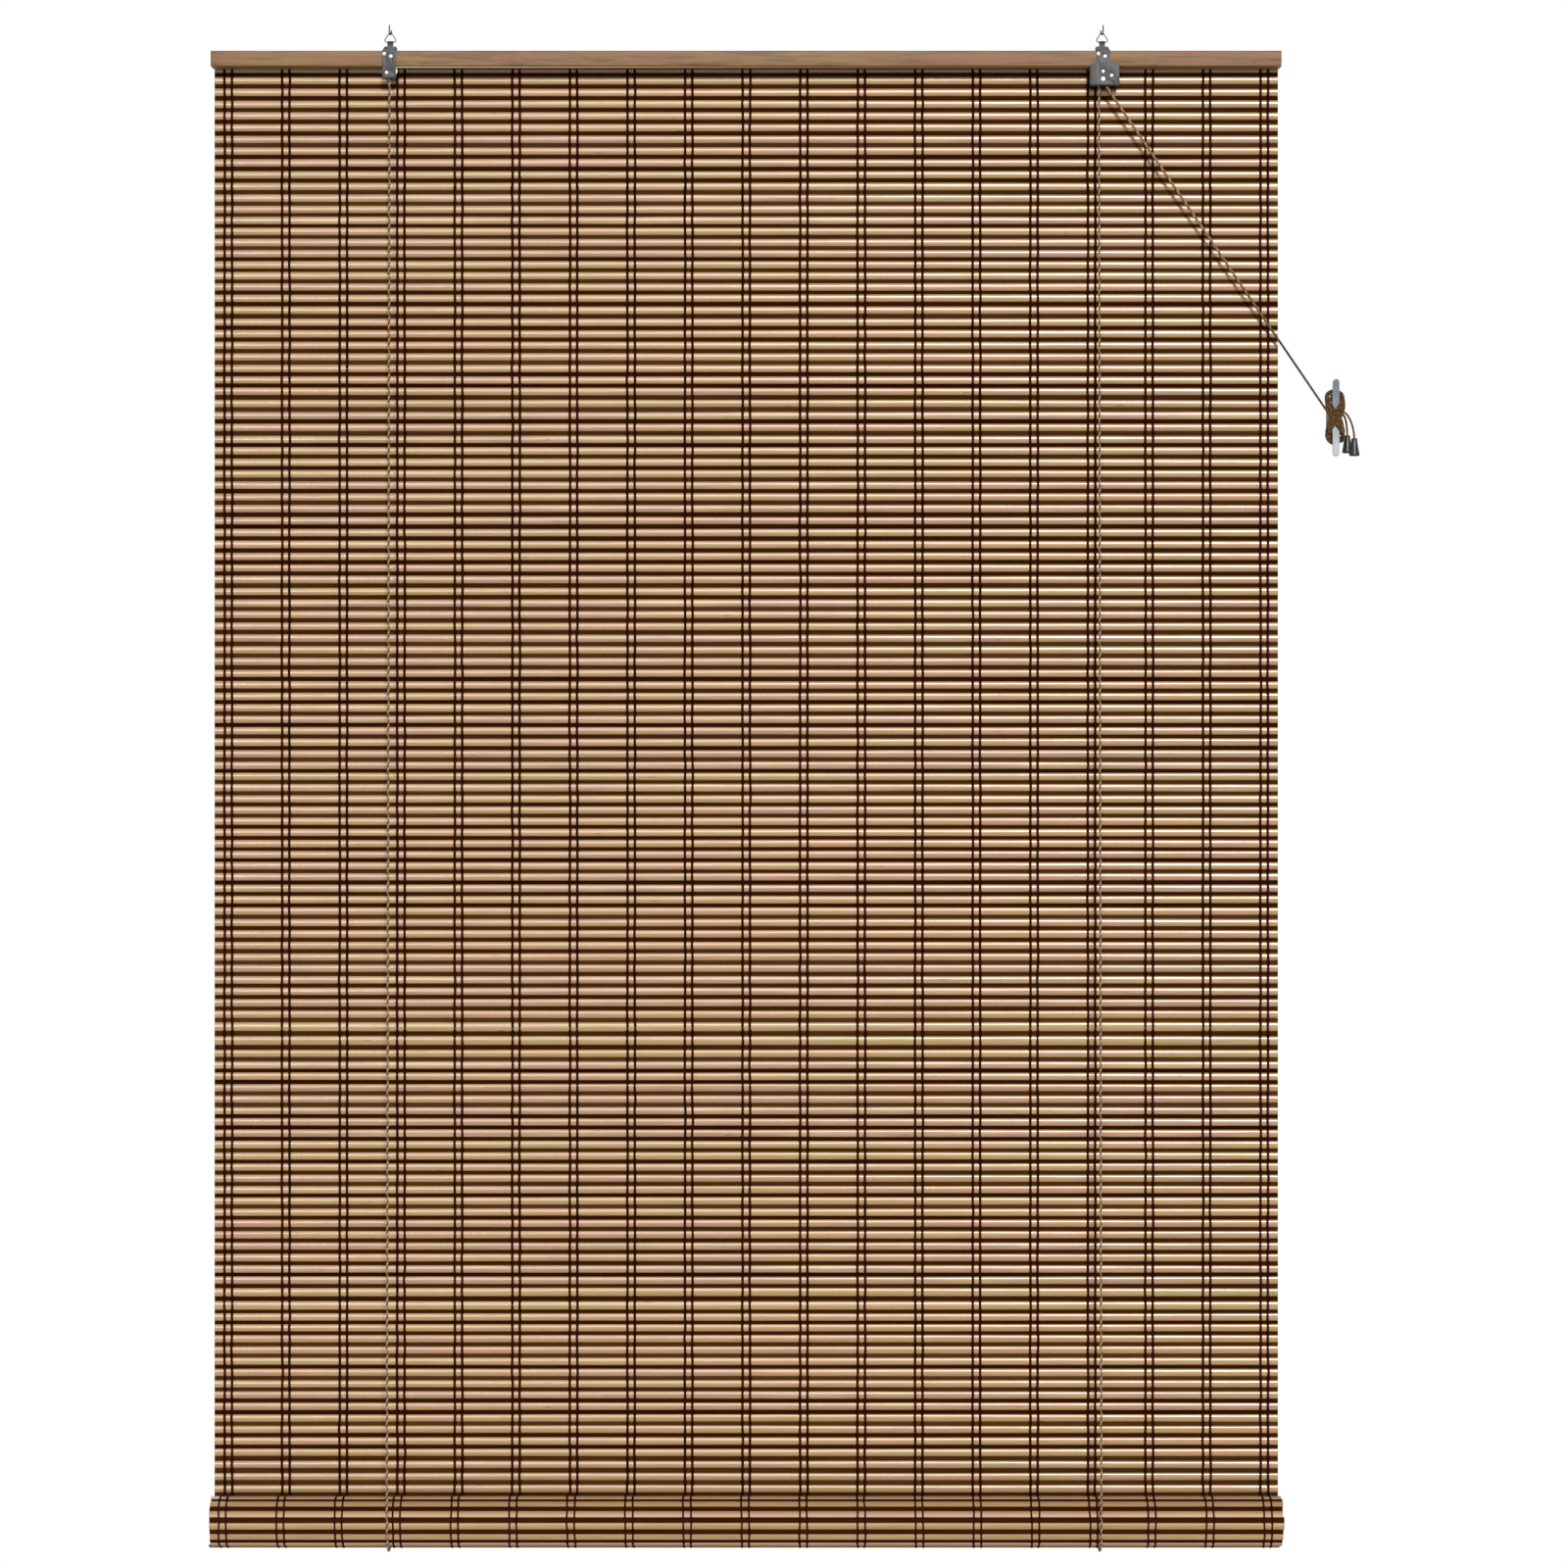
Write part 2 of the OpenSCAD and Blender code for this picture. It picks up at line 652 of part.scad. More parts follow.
// A screw hook: pointed shank, half-round bend and a short straight tip
module hook(x, turn) {
    cone = thread_len * cone_share;
    translate([x, ring_y, -hook_shank]) rotate([0, 0, turn]) {
        rotate([-90, 0, 0]) rotate_extrude(angle = 180) translate([hook_bend, 0]) circle(hook_r);
        translate([-hook_bend, 0, 0]) {
            cylinder(h = hook_shank + thread_len - cone, r = hook_r);
            translate([0, 0, hook_shank + thread_len - cone]) cylinder(h = cone, r1 = hook_r, r2 = hook_r / 4);
        }
        translate([hook_bend, 0, 0]) {
            cylinder(h = hook_tip, r = hook_r);
            translate([0, 0, hook_tip]) sphere(hook_r);
        }
    }
}

module left_hook() {
    color("gray") hook(left_x, -hook_turn);
}

module right_hook() {
    color("gray") hook(lock_x, 180 + hook_turn);
}

// Lift cords

// From a pulley straight down to the front of the roll
module lift_cord(x, y, z) {
    cord([[x, y, z - clear], [x, roll_y - sling_r, roll_z + clear]], [0, 1, 0]);
}

module left_lift_cord() {
    color("peru") lift_cord(left_lift_x, front_y, pulley_z);
}

module right_lift_cord() {
    color("peru") lift_cord(right_lift_x, rear_y, lock_z);
}

// Half a turn of cord under the roll
module sling(x) {
    cord([for (a = [180 : arc_step / 2 : 360])
        [x, roll_y + sling_r * cos(a), roll_z + sling_r * sin(a)]], [1, 0, 0]);
}

module left_sling() {
    color("peru") sling(left_lift_x);
}

module right_sling() {
    color("peru") sling(right_lift_x);
}

// From the back of the roll up behind the mat to a knot on the headrail
module rear_cord(x) {
    cord([[x, rear_cord_y, roll_z + clear], [x, rear_cord_y, knot_z - knot_r]], [0, 1, 0]);
}

module left_rear_cord() {
    color("peru") rear_cord(left_lift_x);
}

module right_rear_cord() {
    color("peru") rear_cord(right_lift_x);
}

// The left cord over its pulley, along the headrail, over the lock's front pulley and down
module head_cord() {
    color("peru") cord(concat(
        wrap(pulley_x, front_y, pulley_z, pulley_r, 180, 90),
        wrap(lock_x, front_y, lock_z, lock_r, 90, 0),
        [[pull_x, front_y, lock_low]]), [0, 1, 0]);
}

// The right cord over the lock's rear pulley and down
module lock_cord() {
    color("peru") cord(concat(
        wrap(lock_x, rear_y, lock_z, lock_r, 180, 0),
        [[pull_x, rear_y, lock_low]]), [0, 1, 0]);
}

// Flattened knots at the tops of the rear cords
module cord_knots() {
    color("peru") for (x = [left_lift_x, right_lift_x])
        pin_y(x, rear_cord_y - cord_r, knot_z, knot_r, cord_d);
}

// Staples over the rear cords, into the headrail
module cord_staples() {
    crown = cord_d + 2 * clear + 2 * staple_wire;
    color("silver") for (x = [left_lift_x, right_lift_x])
        staple(x, rear_cord_y + cord_r, cord_staple_z, crown, staple_leg + cord_d);
}

// Cleat

// Front and back of the horns along the cleat, where u runs from -1 to 1
function horn_front(u) = horn_y + horn_rise * (1 - u * u);
function horn_back(u) = horn_front(u) + horn_t * (1 - taper_share * u * u);
function cleat_half(u) = cleat_w / 2 * (1 - narrow_share * u * u);

// A moulded cleat: two curved horns on a post, and a foot on the wall
module cleat() {
    us = [for (i = [-horn_steps : horn_steps]) i / horn_steps];
    half = cleat_len / 2;
    end_r = cleat_half(1);
    color("lightsteelblue") difference() {
        translate([cleat_x, 0, cleat_z]) {
            intersection() {
                crosswise(2 * cleat_w) polygon(concat(
                    [for (u = us) [horn_front(u), half * u]],
                    [for (i = [len(us) - 1 : -1 : 0]) [horn_back(us[i]), half * us[i]]]));
                upright(horn_y - over, cleat_depth) {
                    polygon(concat(
                        [for (u = us) [cleat_half(u), (half - end_r) * u]],
                        [for (i = [len(us) - 1 : -1 : 0]) [-cleat_half(us[i]), (half - end_r) * us[i]]]));
                    for (s = [-1, 1]) translate([0, s * (half - end_r)]) circle(end_r);
                }
            }
            upright(horn_back(0) - horn_t / 2, wall_y - horn_back(0) + horn_t / 2)
                rounded([-cleat_w / 2, -post_len / 2], [cleat_w / 2, post_len / 2], plate_round);
            upright(wall_y - foot_t, foot_t)
                rounded([-foot_w / 2, -foot_len / 2], [foot_w / 2, foot_len / 2], plate_round);
        }
        cleat_places() {
            pin_y(0, horn_y - over, 0, cleat_head_r, sink_y - horn_y + over);
            pin_y(0, horn_y, 0, cleat_screw_r, cleat_depth + over);
        }
    }
}

module cleat_places() {
    for (s = [-1, 1]) translate([cleat_x, 0, cleat_z + s * cleat_pitch / 2]) children();
}

// Screws through the cleat into the wall
module cleat_screws() {
    color("silver") cleat_places() {
        pin_y(0, sink_y - cleat_head_h, 0, cleat_head_r, cleat_head_h);
        pin_y(0, sink_y, 0, cleat_screw_r, wall_y - sink_y);
        pin_y(0, wall_y, 0, cleat_thread_r, cleat_screw_in);
    }
}

// The outer shape of the cords wound on the cleat, open where the horns and the post are
module cleat_winding() {
    horn_w = cleat_w / 2 + clear;
    post_h = post_len / 2 + clear;
    color("peru") difference() {
        upright(wind_front, wind_back - wind_front) translate([cleat_x, cleat_z])
            rounded([-wind_w / 2, -wind_len / 2], [wind_w / 2, wind_len / 2], wind_w / 2 - over);
        translate([cleat_x - horn_w, horn_y - clear, cleat_z - wind_len])
            cube([2 * horn_w, horn_rise + horn_t + 2 * clear, 2 * wind_len]);
        translate([cleat_x - horn_w, horn_y, cleat_z - post_h]) cube([2 * horn_w, cleat_depth, 2 * post_h]);
    }
}

module pull_cord_front() {
    color("peru") cord(pull_front_route, [0, 1, 0]);
}

module pull_cord_rear() {
    color("peru") cord(pull_rear_route, [0, 1, 0]);
}

// A tail bends out of the winding and ends under the roof of its tassel
module tail(bends, at, side) {
    cord(concat([for (b = bends) wind_at + b], [at - [0, 0, tassel_roof]]), side);
}

module tail_front() {
    color("peru") tail(tail_front_bends, tassel_front_at, [0, 1, 0]);
}

module tail_rear() {
    color("peru") tail(tail_rear_bends, tassel_rear_at, [0, 1, 0]);
}

// A bell-shaped cord end with a hole in its top
module tassel(at) {
    top_r = tassel_top_d / 2;
    rim_r = tassel_d / 2;
    translate(at) rotate_extrude() polygon([
        [tassel_hole_r, 0], [top_r - tassel_wall / 2, 0], [top_r, -tassel_wall], [rim_r, -tassel_h],
        [rim_r - tassel_wall, -tassel_h], [top_r - tassel_wall, -tassel_roof], [tassel_hole_r, -tassel_roof]]);
}

module tassel_front() {
    color("dimgray") tassel(tassel_front_at);
}

module tassel_rear() {
    color("dimgray") tassel(tassel_rear_at);
}

// The knots that hold the tassels on their cords
module tassel_knots() {
    color("peru") for (at = [tassel_front_at, tassel_rear_at])
        translate(at - [0, 0, tassel_roof + cord_d]) cylinder(h = cord_d, r = tassel_knot_r);
}

headrail();
slat_mat();
weave_strings();
mat_staples();
bottom_roll();
bottom_rod();
left_bracket();
left_cheek();
left_pulley();
left_axle();
left_keeper();
lock_bracket();
lock_cheek();
lock_pulley_front();
lock_pulley_rear();
lock_axle();
guide_post();
lock_cam();
cam_pin();
lock_spacer();
bracket_screws();
left_ring();
right_ring();
left_hook();
right_hook();
left_lift_cord();
right_lift_cord();
left_sling();
right_sling();
left_rear_cord();
right_rear_cord();
head_cord();
lock_cord();
cord_knots();
cord_staples();
cleat();
cleat_screws();
cleat_winding();
pull_cord_front();
pull_cord_rear();
tail_front();
tail_rear();
tassel_front();
tassel_rear();
tassel_knots();
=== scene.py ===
import json
import math

import bmesh
import bpy
import numpy as np
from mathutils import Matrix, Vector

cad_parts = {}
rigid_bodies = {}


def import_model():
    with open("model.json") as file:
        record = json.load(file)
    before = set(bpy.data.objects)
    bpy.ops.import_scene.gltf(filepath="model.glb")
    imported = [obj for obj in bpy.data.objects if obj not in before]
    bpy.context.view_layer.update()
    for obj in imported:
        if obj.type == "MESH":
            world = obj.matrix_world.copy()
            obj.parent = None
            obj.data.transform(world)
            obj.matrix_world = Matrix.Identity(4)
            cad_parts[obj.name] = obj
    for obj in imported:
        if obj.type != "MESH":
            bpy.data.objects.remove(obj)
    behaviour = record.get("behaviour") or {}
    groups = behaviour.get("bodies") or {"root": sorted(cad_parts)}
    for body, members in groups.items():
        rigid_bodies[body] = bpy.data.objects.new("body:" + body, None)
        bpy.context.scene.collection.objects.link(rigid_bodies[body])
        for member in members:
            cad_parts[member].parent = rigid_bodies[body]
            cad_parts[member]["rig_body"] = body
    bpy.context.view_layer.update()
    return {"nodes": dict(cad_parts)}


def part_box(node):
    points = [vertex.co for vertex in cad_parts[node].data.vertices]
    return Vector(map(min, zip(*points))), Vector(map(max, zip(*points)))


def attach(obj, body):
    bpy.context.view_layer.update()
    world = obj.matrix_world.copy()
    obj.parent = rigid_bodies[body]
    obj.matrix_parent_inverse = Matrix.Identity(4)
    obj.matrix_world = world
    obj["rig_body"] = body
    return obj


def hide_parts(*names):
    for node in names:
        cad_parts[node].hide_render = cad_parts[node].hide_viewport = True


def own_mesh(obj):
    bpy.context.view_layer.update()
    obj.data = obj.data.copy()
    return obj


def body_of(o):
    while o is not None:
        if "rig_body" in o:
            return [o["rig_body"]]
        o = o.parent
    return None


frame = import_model()

# Studio
# A white room with a pale floor. The main lamp is in front of the blind, 20 degrees above level and
# a little to the right, a weak one fills in from the left, and one lights the back. The camera
# stands level, straight in front of the blind.
scene = bpy.context.scene
scene.view_settings.view_transform = "Standard"

lens = bpy.data.cameras.new("camera")
lens.lens, lens.sensor_width, lens.clip_end = 114.2, 36, 60
camera = bpy.data.objects.new("camera", lens)
camera.location = (0.0425, -5.594, -0.8484)
camera.rotation_euler = (math.pi / 2, 0, 0)
scene.collection.objects.link(camera)
scene.camera = camera

lamps = (("lamp", 2.95, 70, 7), ("fill_lamp", 0.7, 84, -8), ("back_lamp", 1.8, 50, 200))
for name, energy, tilt, turn in lamps:
    lamp = bpy.data.lights.new(name, "SUN")
    lamp.energy, lamp.angle = energy, math.radians(8)
    lamp_at = bpy.data.objects.new(name, lamp)
    lamp_at.rotation_euler = (math.radians(tilt), 0, math.radians(turn))
    scene.collection.objects.link(lamp_at)

world = bpy.data.worlds.new("white_room")
world.use_nodes = True
scene.world = world
room, join = world.node_tree.nodes, world.node_tree.links.new
seen, around = room["Background"], room.new("ShaderNodeBackground")
seen.inputs["Color"].default_value = (1, 1, 1, 1)
around.inputs["Color"].default_value = (1, 0.985, 0.97, 1)
around.inputs["Strength"].default_value = 0.15
rays, both = room.new("ShaderNodeLightPath"), room.new("ShaderNodeMixShader")
straight, any_ray = room.new("ShaderNodeMath"), room.new("ShaderNodeMath")
straight.operation = any_ray.operation = "MAXIMUM"
join(rays.outputs["Is Camera Ray"], straight.inputs[0])
join(rays.outputs["Is Transmission Ray"], straight.inputs[1])
join(straight.outputs[0], any_ray.inputs[0])
join(rays.outputs["Is Glossy Ray"], any_ray.inputs[1])
join(any_ray.outputs[0], both.inputs[0])
join(around.outputs[0], both.inputs[1])
join(seen.outputs[0], both.inputs[2])
join(both.outputs[0], room["World Output"].inputs["Surface"])

floor_z = -1.9
floor_mesh = bpy.data.meshes.new("floor")
floor_corners = [(x, y, floor_z) for x, y in ((-3, -3), (3, -3), (3, 1), (-3, 1))]
floor_mesh.from_pydata(floor_corners, [], [(0, 1, 2, 3)])
floor = bpy.data.objects.new("floor", floor_mesh)
scene.collection.objects.link(floor)
floor_paint = bpy.data.materials.new("floor_paint")
floor_paint.use_nodes = True
paint = floor_paint.node_tree.nodes["Principled BSDF"].inputs
paint["Base Color"].default_value = (0.8, 0.79, 0.77, 1)
paint["Roughness"].default_value = 0.9
floor_mesh.materials.append(floor_paint)


# Headrail
# A planed hardwood batten, 1200 x 25 x 17.5 mm, stained tan-brown. Its long edges are sanded
# round, and the top slat of the mat is stapled to its back.
white = (1, 1, 1, 1)


def srgb(r, g, b):
    """A screen colour from 0 to 255 as a shader takes it."""
    parts = (r / 255, g / 255, b / 255)
    linear = (c / 12.92 if c <= 0.04045 else ((c + 0.055) / 1.055) ** 2.4 for c in parts)
    return tuple(linear) + (1,)


def new_material(name, colour, roughness, metallic=0.0, specular=0.5):
    """A material with one colour and one roughness, until its noises are linked."""
    made = bpy.data.materials.new(name)
    made.use_nodes = True
    shader = made.node_tree.nodes["Principled BSDF"]
    shader.inputs["Base Color"].default_value = colour
    shader.inputs["Roughness"].default_value = roughness
    shader.inputs["Metallic"].default_value = metallic
    shader.inputs["Specular IOR Level"].default_value = specular
    return made


def add(made, kind, inputs, **settings):
    """A new node in a material. inputs maps a socket to a value or to another node's output."""
    node = made.node_tree.nodes.new("ShaderNode" + kind)
    for key, value in settings.items():
        setattr(node, key, value)
    for key, value in inputs.items():
        if isinstance(value, bpy.types.NodeSocket):
            made.node_tree.links.new(value, node.inputs[key])
        else:
            node.inputs[key].default_value = value
    return node


def noise(made, scale, detail=3.0, rough=0.55):
    """Noise stretched by a scale for each axis of the part, in cells a metre."""
    place = add(made, "TexCoord", {}).outputs["Object"]
    place = add(made, "Mapping", {"Vector": place, "Scale": scale}).outputs[0]
    cloud = {"Vector": place, "Scale": 1.0, "Detail": detail, "Roughness": rough}
    return add(made, "TexNoise", cloud).outputs["Fac"]


def ramp(made, fac, *stops):
    """A colour ramp from (place, colour) stops."""
    node = add(made, "ValToRGB", {0: fac})
    while len(node.color_ramp.elements) < len(stops):
        node.color_ramp.elements.new(0.5)
    for element, (place, colour) in zip(node.color_ramp.elements, stops):
        element.position, element.color = place, colour
    return node.outputs["Color"]


def tint(made, colour, shade, amount):
    """A colour multiplied by a shade, by some amount."""
    node = add(made, "MixRGB", {0: amount, 1: colour, 2: shade}, blend_type="MULTIPLY")
    return node.outputs[0]


def weighed(made, *parts):
    """The sum of two values, each given with its share."""
    shares = [add(made, "Math", {0: value, 1: share}, operation="MULTIPLY") for value, share in parts]
    return add(made, "Math", {0: shares[0].outputs[0], 1: shares[1].outputs[0]}).outputs[0]


def spread(made, fac, low, high):
    """A noise value moved to the range from low to high."""
    return add(made, "MapRange", {0: fac, 1: 0.25, 2: 0.75, 3: low, 4: high}).outputs[0]


def wire_up(made, colour, roughness=None, height=None, bump=0.0, depth=0.0):
    """Links colour, roughness and bump to a material's shader. depth is the bump's, in metres."""
    shader = made.node_tree.nodes["Principled BSDF"]
    made.node_tree.links.new(colour, shader.inputs["Base Color"])
    if roughness is not None:
        made.node_tree.links.new(roughness, shader.inputs["Roughness"])
    if height is not None:
        bumps = add(made, "Bump", {"Height": height, "Strength": bump, "Distance": depth})
        made.node_tree.links.new(bumps.outputs[0], shader.inputs["Normal"])


def box_mm(node):
    """A CAD node's lowest and highest corner in mm."""
    return [np.array(corner) * 1000 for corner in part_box(node)]


def skin(rings):
    """Points and faces of a skin over rings of points. The triangles at its ends repeat a point."""
    count, around = rings.shape[:2]
    i, j = np.arange(count - 1)[:, None] * around, np.arange(around)[None]
    k = (j + 1) % around
    sides = np.stack([i + j, i + k, i + around + k, i + around + j], -1).reshape(-1, 4)
    j, k, last = j[0], k[0], (count - 1) * around
    first_end = np.column_stack([np.full(around, count * around), k, j, j])
    last_end = np.column_stack([np.full(around, count * around + 1), last + j, last + k, last + k])
    points = np.concatenate([rings.reshape(-1, 3), rings[[0, -1]].mean(1)])
    return points, np.concatenate([sides, first_end, last_end])


def piece(name, skins, made, body, slot, *nodes, tones=None, crease=38):
    """A piece of skins in mm, each with its own tone. It rides on a body and stands for CAD nodes."""
    points, faces, tone, start = [], [], [], 0
    for number, (place, corners) in enumerate(skins):
        points.append(place)
        faces.append(corners + start)
        tone.append(np.full(len(place), 0.5 if tones is None else tones[number], np.float32))
        start += len(place)
    points, faces = np.concatenate(points) / 1000, np.concatenate(faces)
    used = np.ones(faces.shape, bool)
    used[:, 3] = faces[:, 2] != faces[:, 3]
    starts = np.cumsum(used.sum(1)) - used.sum(1)
    mesh = bpy.data.meshes.new(name)
    mesh.vertices.add(len(points))
    mesh.vertices.foreach_set("co", points.astype(np.float32).ravel())
    mesh.loops.add(int(used.sum()))
    mesh.loops.foreach_set("vertex_index", faces[used].astype(np.int32))
    mesh.polygons.add(len(faces))
    mesh.polygons.foreach_set("loop_start", starts.astype(np.int32))
    mesh.update(calc_edges=True)
    tone_of_points = mesh.attributes.new("tone", "FLOAT", "POINT")
    tone_of_points.data.foreach_set("value", np.concatenate(tone))
    mesh.shade_smooth()
    mesh.set_sharp_from_angle(angle=math.radians(crease))
    mesh.materials.append(made)
    made_piece = bpy.data.objects.new(name, mesh)
    scene.collection.objects.link(made_piece)
    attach(made_piece, body)
    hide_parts(*nodes)
    return made_piece


chance = np.random.default_rng(7)
rail_low, rail_high = box_mm("headrail")
rail_half, sanded_from, rail_round = 600, 598.6, 1.6
front, back = rail_low[1] + rail_round, rail_high[1] - rail_round
foot, head = rail_low[2] + rail_round, rail_high[2] - rail_round
rail_outline = np.array([
    (y + rail_round * math.cos(a), z + rail_round * math.sin(a))
    for y, z, first in ((back, head, 0), (front, head, 90), (front, foot, 180), (back, foot, 270))
    for a in np.radians(first + np.array([0, 30, 60, 90]))])
middle = (rail_low[1:] + rail_high[1:]) / 2
rail_ends = np.array([sanded_from, 599.4, rail_half])
rings = []
for x in [*-rail_ends[::-1], *np.linspace(-580, 580, 30), *rail_ends]:
    narrowing = 0.014 * max(0, abs(x) - sanded_from) ** 2
    ring = middle + (rail_outline - middle) * (1 - narrowing) + chance.normal(0, 0.02, 2)
    rings.append(np.column_stack([np.full(len(ring), x), ring]))
rail_wood = new_material("rail_wood", srgb(132, 101, 68), 0.55, specular=0.2)
bands, veins = noise(rail_wood, (9, 60, 60), 3), noise(rail_wood, (22, 200, 150), 3)
grain = noise(rail_wood, (13, 300, 190), 5, 0.75)
colour = ramp(
    rail_wood, weighed(rail_wood, (bands, 1.3), (veins, 0.5)),
    (0.62, srgb(138, 111, 66)), (0.85, srgb(132, 102, 68)), (1.0, srgb(136, 96, 72)))
pores = ramp(
    rail_wood, grain, (0.34, (0.38, 0.34, 0.3, 1)), (0.5, (0.86, 0.85, 0.82, 1)), (0.62, white))
wire_up(
    rail_wood, tint(rail_wood, colour, pores, 0.9), spread(rail_wood, grain, 0.42, 0.6),
    grain, 0.25, 0.0002)
piece("headrail_batten", [skin(np.array(rings))], rail_wood, "headrail", "rail_wood", "headrail")


# Slat mat
# 127 split-bamboo slats, 8.7 mm high with a round outer face, and a dark thin stick between each
# two. They are lacquered, so the round faces shine, and no slat is quite straight or of one tone.
# The rows by the headrail keep their form when the blind is raised; the others close up.
mat_half, mat_y, top_row, row_step, rows = 598.5, 6.175, -30.85, 13.0, 127
slat_tall, slat_half_thick, stick_tall, widest_gap = 8.7, 1.8, 4.4, 5.2
edge_y, bulge, back_bulge = 6.375, 2.0, 1.6
slat_angles = np.radians(np.linspace(-90, 90, 11))
curl = np.where(slat_angles > 0, 2 / 2.4, 1)
slat_face = np.column_stack([
    edge_y - bulge * np.cos(slat_angles).clip(0) ** curl,
    slat_tall / 2 * np.sign(slat_angles) * np.abs(np.sin(slat_angles)) ** curl])
back_angles = np.radians(np.array([56, 24, -24, -56]))
slat_back = np.column_stack([
    edge_y + back_bulge * np.cos(back_angles) ** 0.8,
    slat_tall / 2 * np.sin(back_angles) * 1.04])
slat_outline = np.concatenate([slat_face, slat_back])
stick_angles = np.radians(np.arange(0, 360, 45))
stick_outline = np.column_stack([
    mat_y + 1.1 * np.cos(stick_angles), stick_tall / 2 * np.sin(stick_angles)])


def wavy(stations, step, size):
    """A smooth random wander along the stations."""
    knots = chance.normal(0, size, max(2, int(2 * mat_half / step) + 1))
    return np.interp(stations, np.linspace(-mat_half, mat_half, len(knots)), knots)


def bar(outline, z, stations, wander, swell, lean):
    """A slat or stick along x that wanders, swells and leans a little."""
    ups = wavy(stations, 300, wander)
    sizes = 1 + wavy(stations, 180, swell)
    leans = wavy(stations, 500, lean)
    rings = []
    for x, up, size, turn in zip(stations, ups, sizes, leans):
        y, h = (outline[:, 0] - mat_y) * size, outline[:, 1] * size
        y, h = y * math.cos(turn) - h * math.sin(turn), y * math.sin(turn) + h * math.cos(turn)
        depth = mat_y + np.clip(y, -slat_half_thick, slat_half_thick)
        rings.append(np.column_stack([np.full(len(y), x), depth, z + up + h]))
    return skin(np.array(rings))


# How far the weave has slipped, up or down in mm, at some of the rows.
slips = (
    (0, 0), (2, 0.3), (12, -2), (15, -0.5), (21, 2.5), (23, 1.3), (29, 1.3), (33, -0.5), (38, -0.2),
    (42, -2), (54, -4), (61, -3.5), (65, -2), (71, 1), (79, 2), (84, 2.2), (85, -2.2), (86, -3),
    (92, -2), (100, 0.5), (107, 2), (108, -1.2), (111, 1), (116, 2.7), (121, 3), (126, 0))
slat_z = top_row - row_step * np.arange(rows) + np.interp(np.arange(rows), *zip(*slips))
stick_z, gaps = (slat_z[:-1] + slat_z[1:]) / 2, slat_z[:-1] - slat_z[1:] - slat_tall
taller = np.concatenate([[0], np.clip(gaps - widest_gap, 0, None) / 2, [0]])
slat_stations = np.concatenate([[-mat_half], np.linspace(-597.9, 597.9, 23), [mat_half]])
stick_stations = np.linspace(-mat_half, mat_half, 13)
slats, sticks = [], []
for z, above, below in zip(slat_z, taller[:-1], taller[1:]):
    outline = slat_outline * (1, 1 + (above + below) / slat_tall)
    slats.append(bar(outline, z + (above - below) / 2, slat_stations, 0.16, 0.03, 0.035))
for z, gap in zip(stick_z, gaps):
    outline = stick_outline * (1, (min(gap, widest_gap) + 1.4) / stick_tall)
    sticks.append(bar(outline, z, stick_stations, 0.12, 0.03, 0.02))
slat_tones = chance.uniform(0, 1, rows)
slat_tones[taller[:-1] + taller[1:] > 0.5] = 0
stick_tones = chance.uniform(0, 1, rows - 1)


def own_tone(made):
    """The tone of each slat, stick or yarn."""
    return add(made, "Attribute", {}, attribute_name="tone").outputs["Fac"]


def rise(made, value, start, end):
    """A value that goes from 0 at start to 1 at end."""
    return add(made, "MapRange", {0: value, 1: start, 2: end}).outputs[0]


def between(made, fac, first, second):
    """A colour between two colours."""
    return add(made, "MixRGB", {0: fac, 1: first, 2: second}).outputs[0]


bamboo = new_material("bamboo", srgb(164, 136, 102), 0.26, specular=0.55)
lacquer = bamboo.node_tree.nodes["Principled BSDF"].inputs["Specular Tint"]
lacquer.default_value = (1, 0.88, 0.78, 1)
patches = noise(bamboo, (7, 30, 160), 3)
colour = ramp(
    bamboo, weighed(bamboo, (own_tone(bamboo), 0.4), (patches, 0.9)),
    (0.2, srgb(148, 123, 76)), (0.42, srgb(158, 133, 95)), (0.6, srgb(165, 131, 97)),
    (0.78, srgb(154, 124, 101)), (0.95, srgb(172, 145, 109)))
fibre = noise(bamboo, (26, 700, 1100), 4, 0.65)
dark_fibre = ramp(bamboo, fibre, (0.3, (0.74, 0.7, 0.64, 1)), (0.58, white))
colour = tint(bamboo, colour, dark_fibre, 0.6)
hue = noise(bamboo, (8, 40, 110), 2)
green_to_pink = ramp(bamboo, hue, (0.36, (0.96, 1, 0.87, 1)), (0.64, (1.03, 0.97, 1.06, 1)))
colour = tint(bamboo, colour, green_to_pink, 1.0)
fleck = rise(bamboo, noise(bamboo, (34, 200, 330), 2), 0.7, 0.76)
colour = between(bamboo, fleck, colour, srgb(112, 84, 58))
wire_up(bamboo, colour, spread(bamboo, fibre, 0.18, 0.32), fibre, 0.12, 0.0001)

dark_stick = new_material("dark_stick", srgb(48, 24, 3), 0.7, specular=0.0)
streak = noise(dark_stick, (5, 300, 200), 3)
colour = ramp(
    dark_stick, weighed(dark_stick, (own_tone(dark_stick), 0.6), (streak, 0.6)),
    (0.25, srgb(33, 10, 1)), (0.55, srgb(50, 24, 5)), (0.85, srgb(68, 42, 20)))
fine = noise(dark_stick, (40, 900, 1200), 3)
wire_up(dark_stick, colour, spread(dark_stick, fine, 0.5, 0.7), fine, 0.2, 0.0001)

still_rows = 11
for name, made, skins, tones in (
        ("slats", bamboo, slats, slat_tones), ("sticks", dark_stick, sticks, stick_tones)):
    piece(name + "_upper", skins[:still_rows], made, "headrail", "bamboo", "slat_mat",
          tones=tones[:still_rows])
    lower = piece(name + "_lower", skins[still_rows:], made, "headrail", "bamboo", "slat_mat",
                  tones=tones[still_rows:])
    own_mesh(lower)


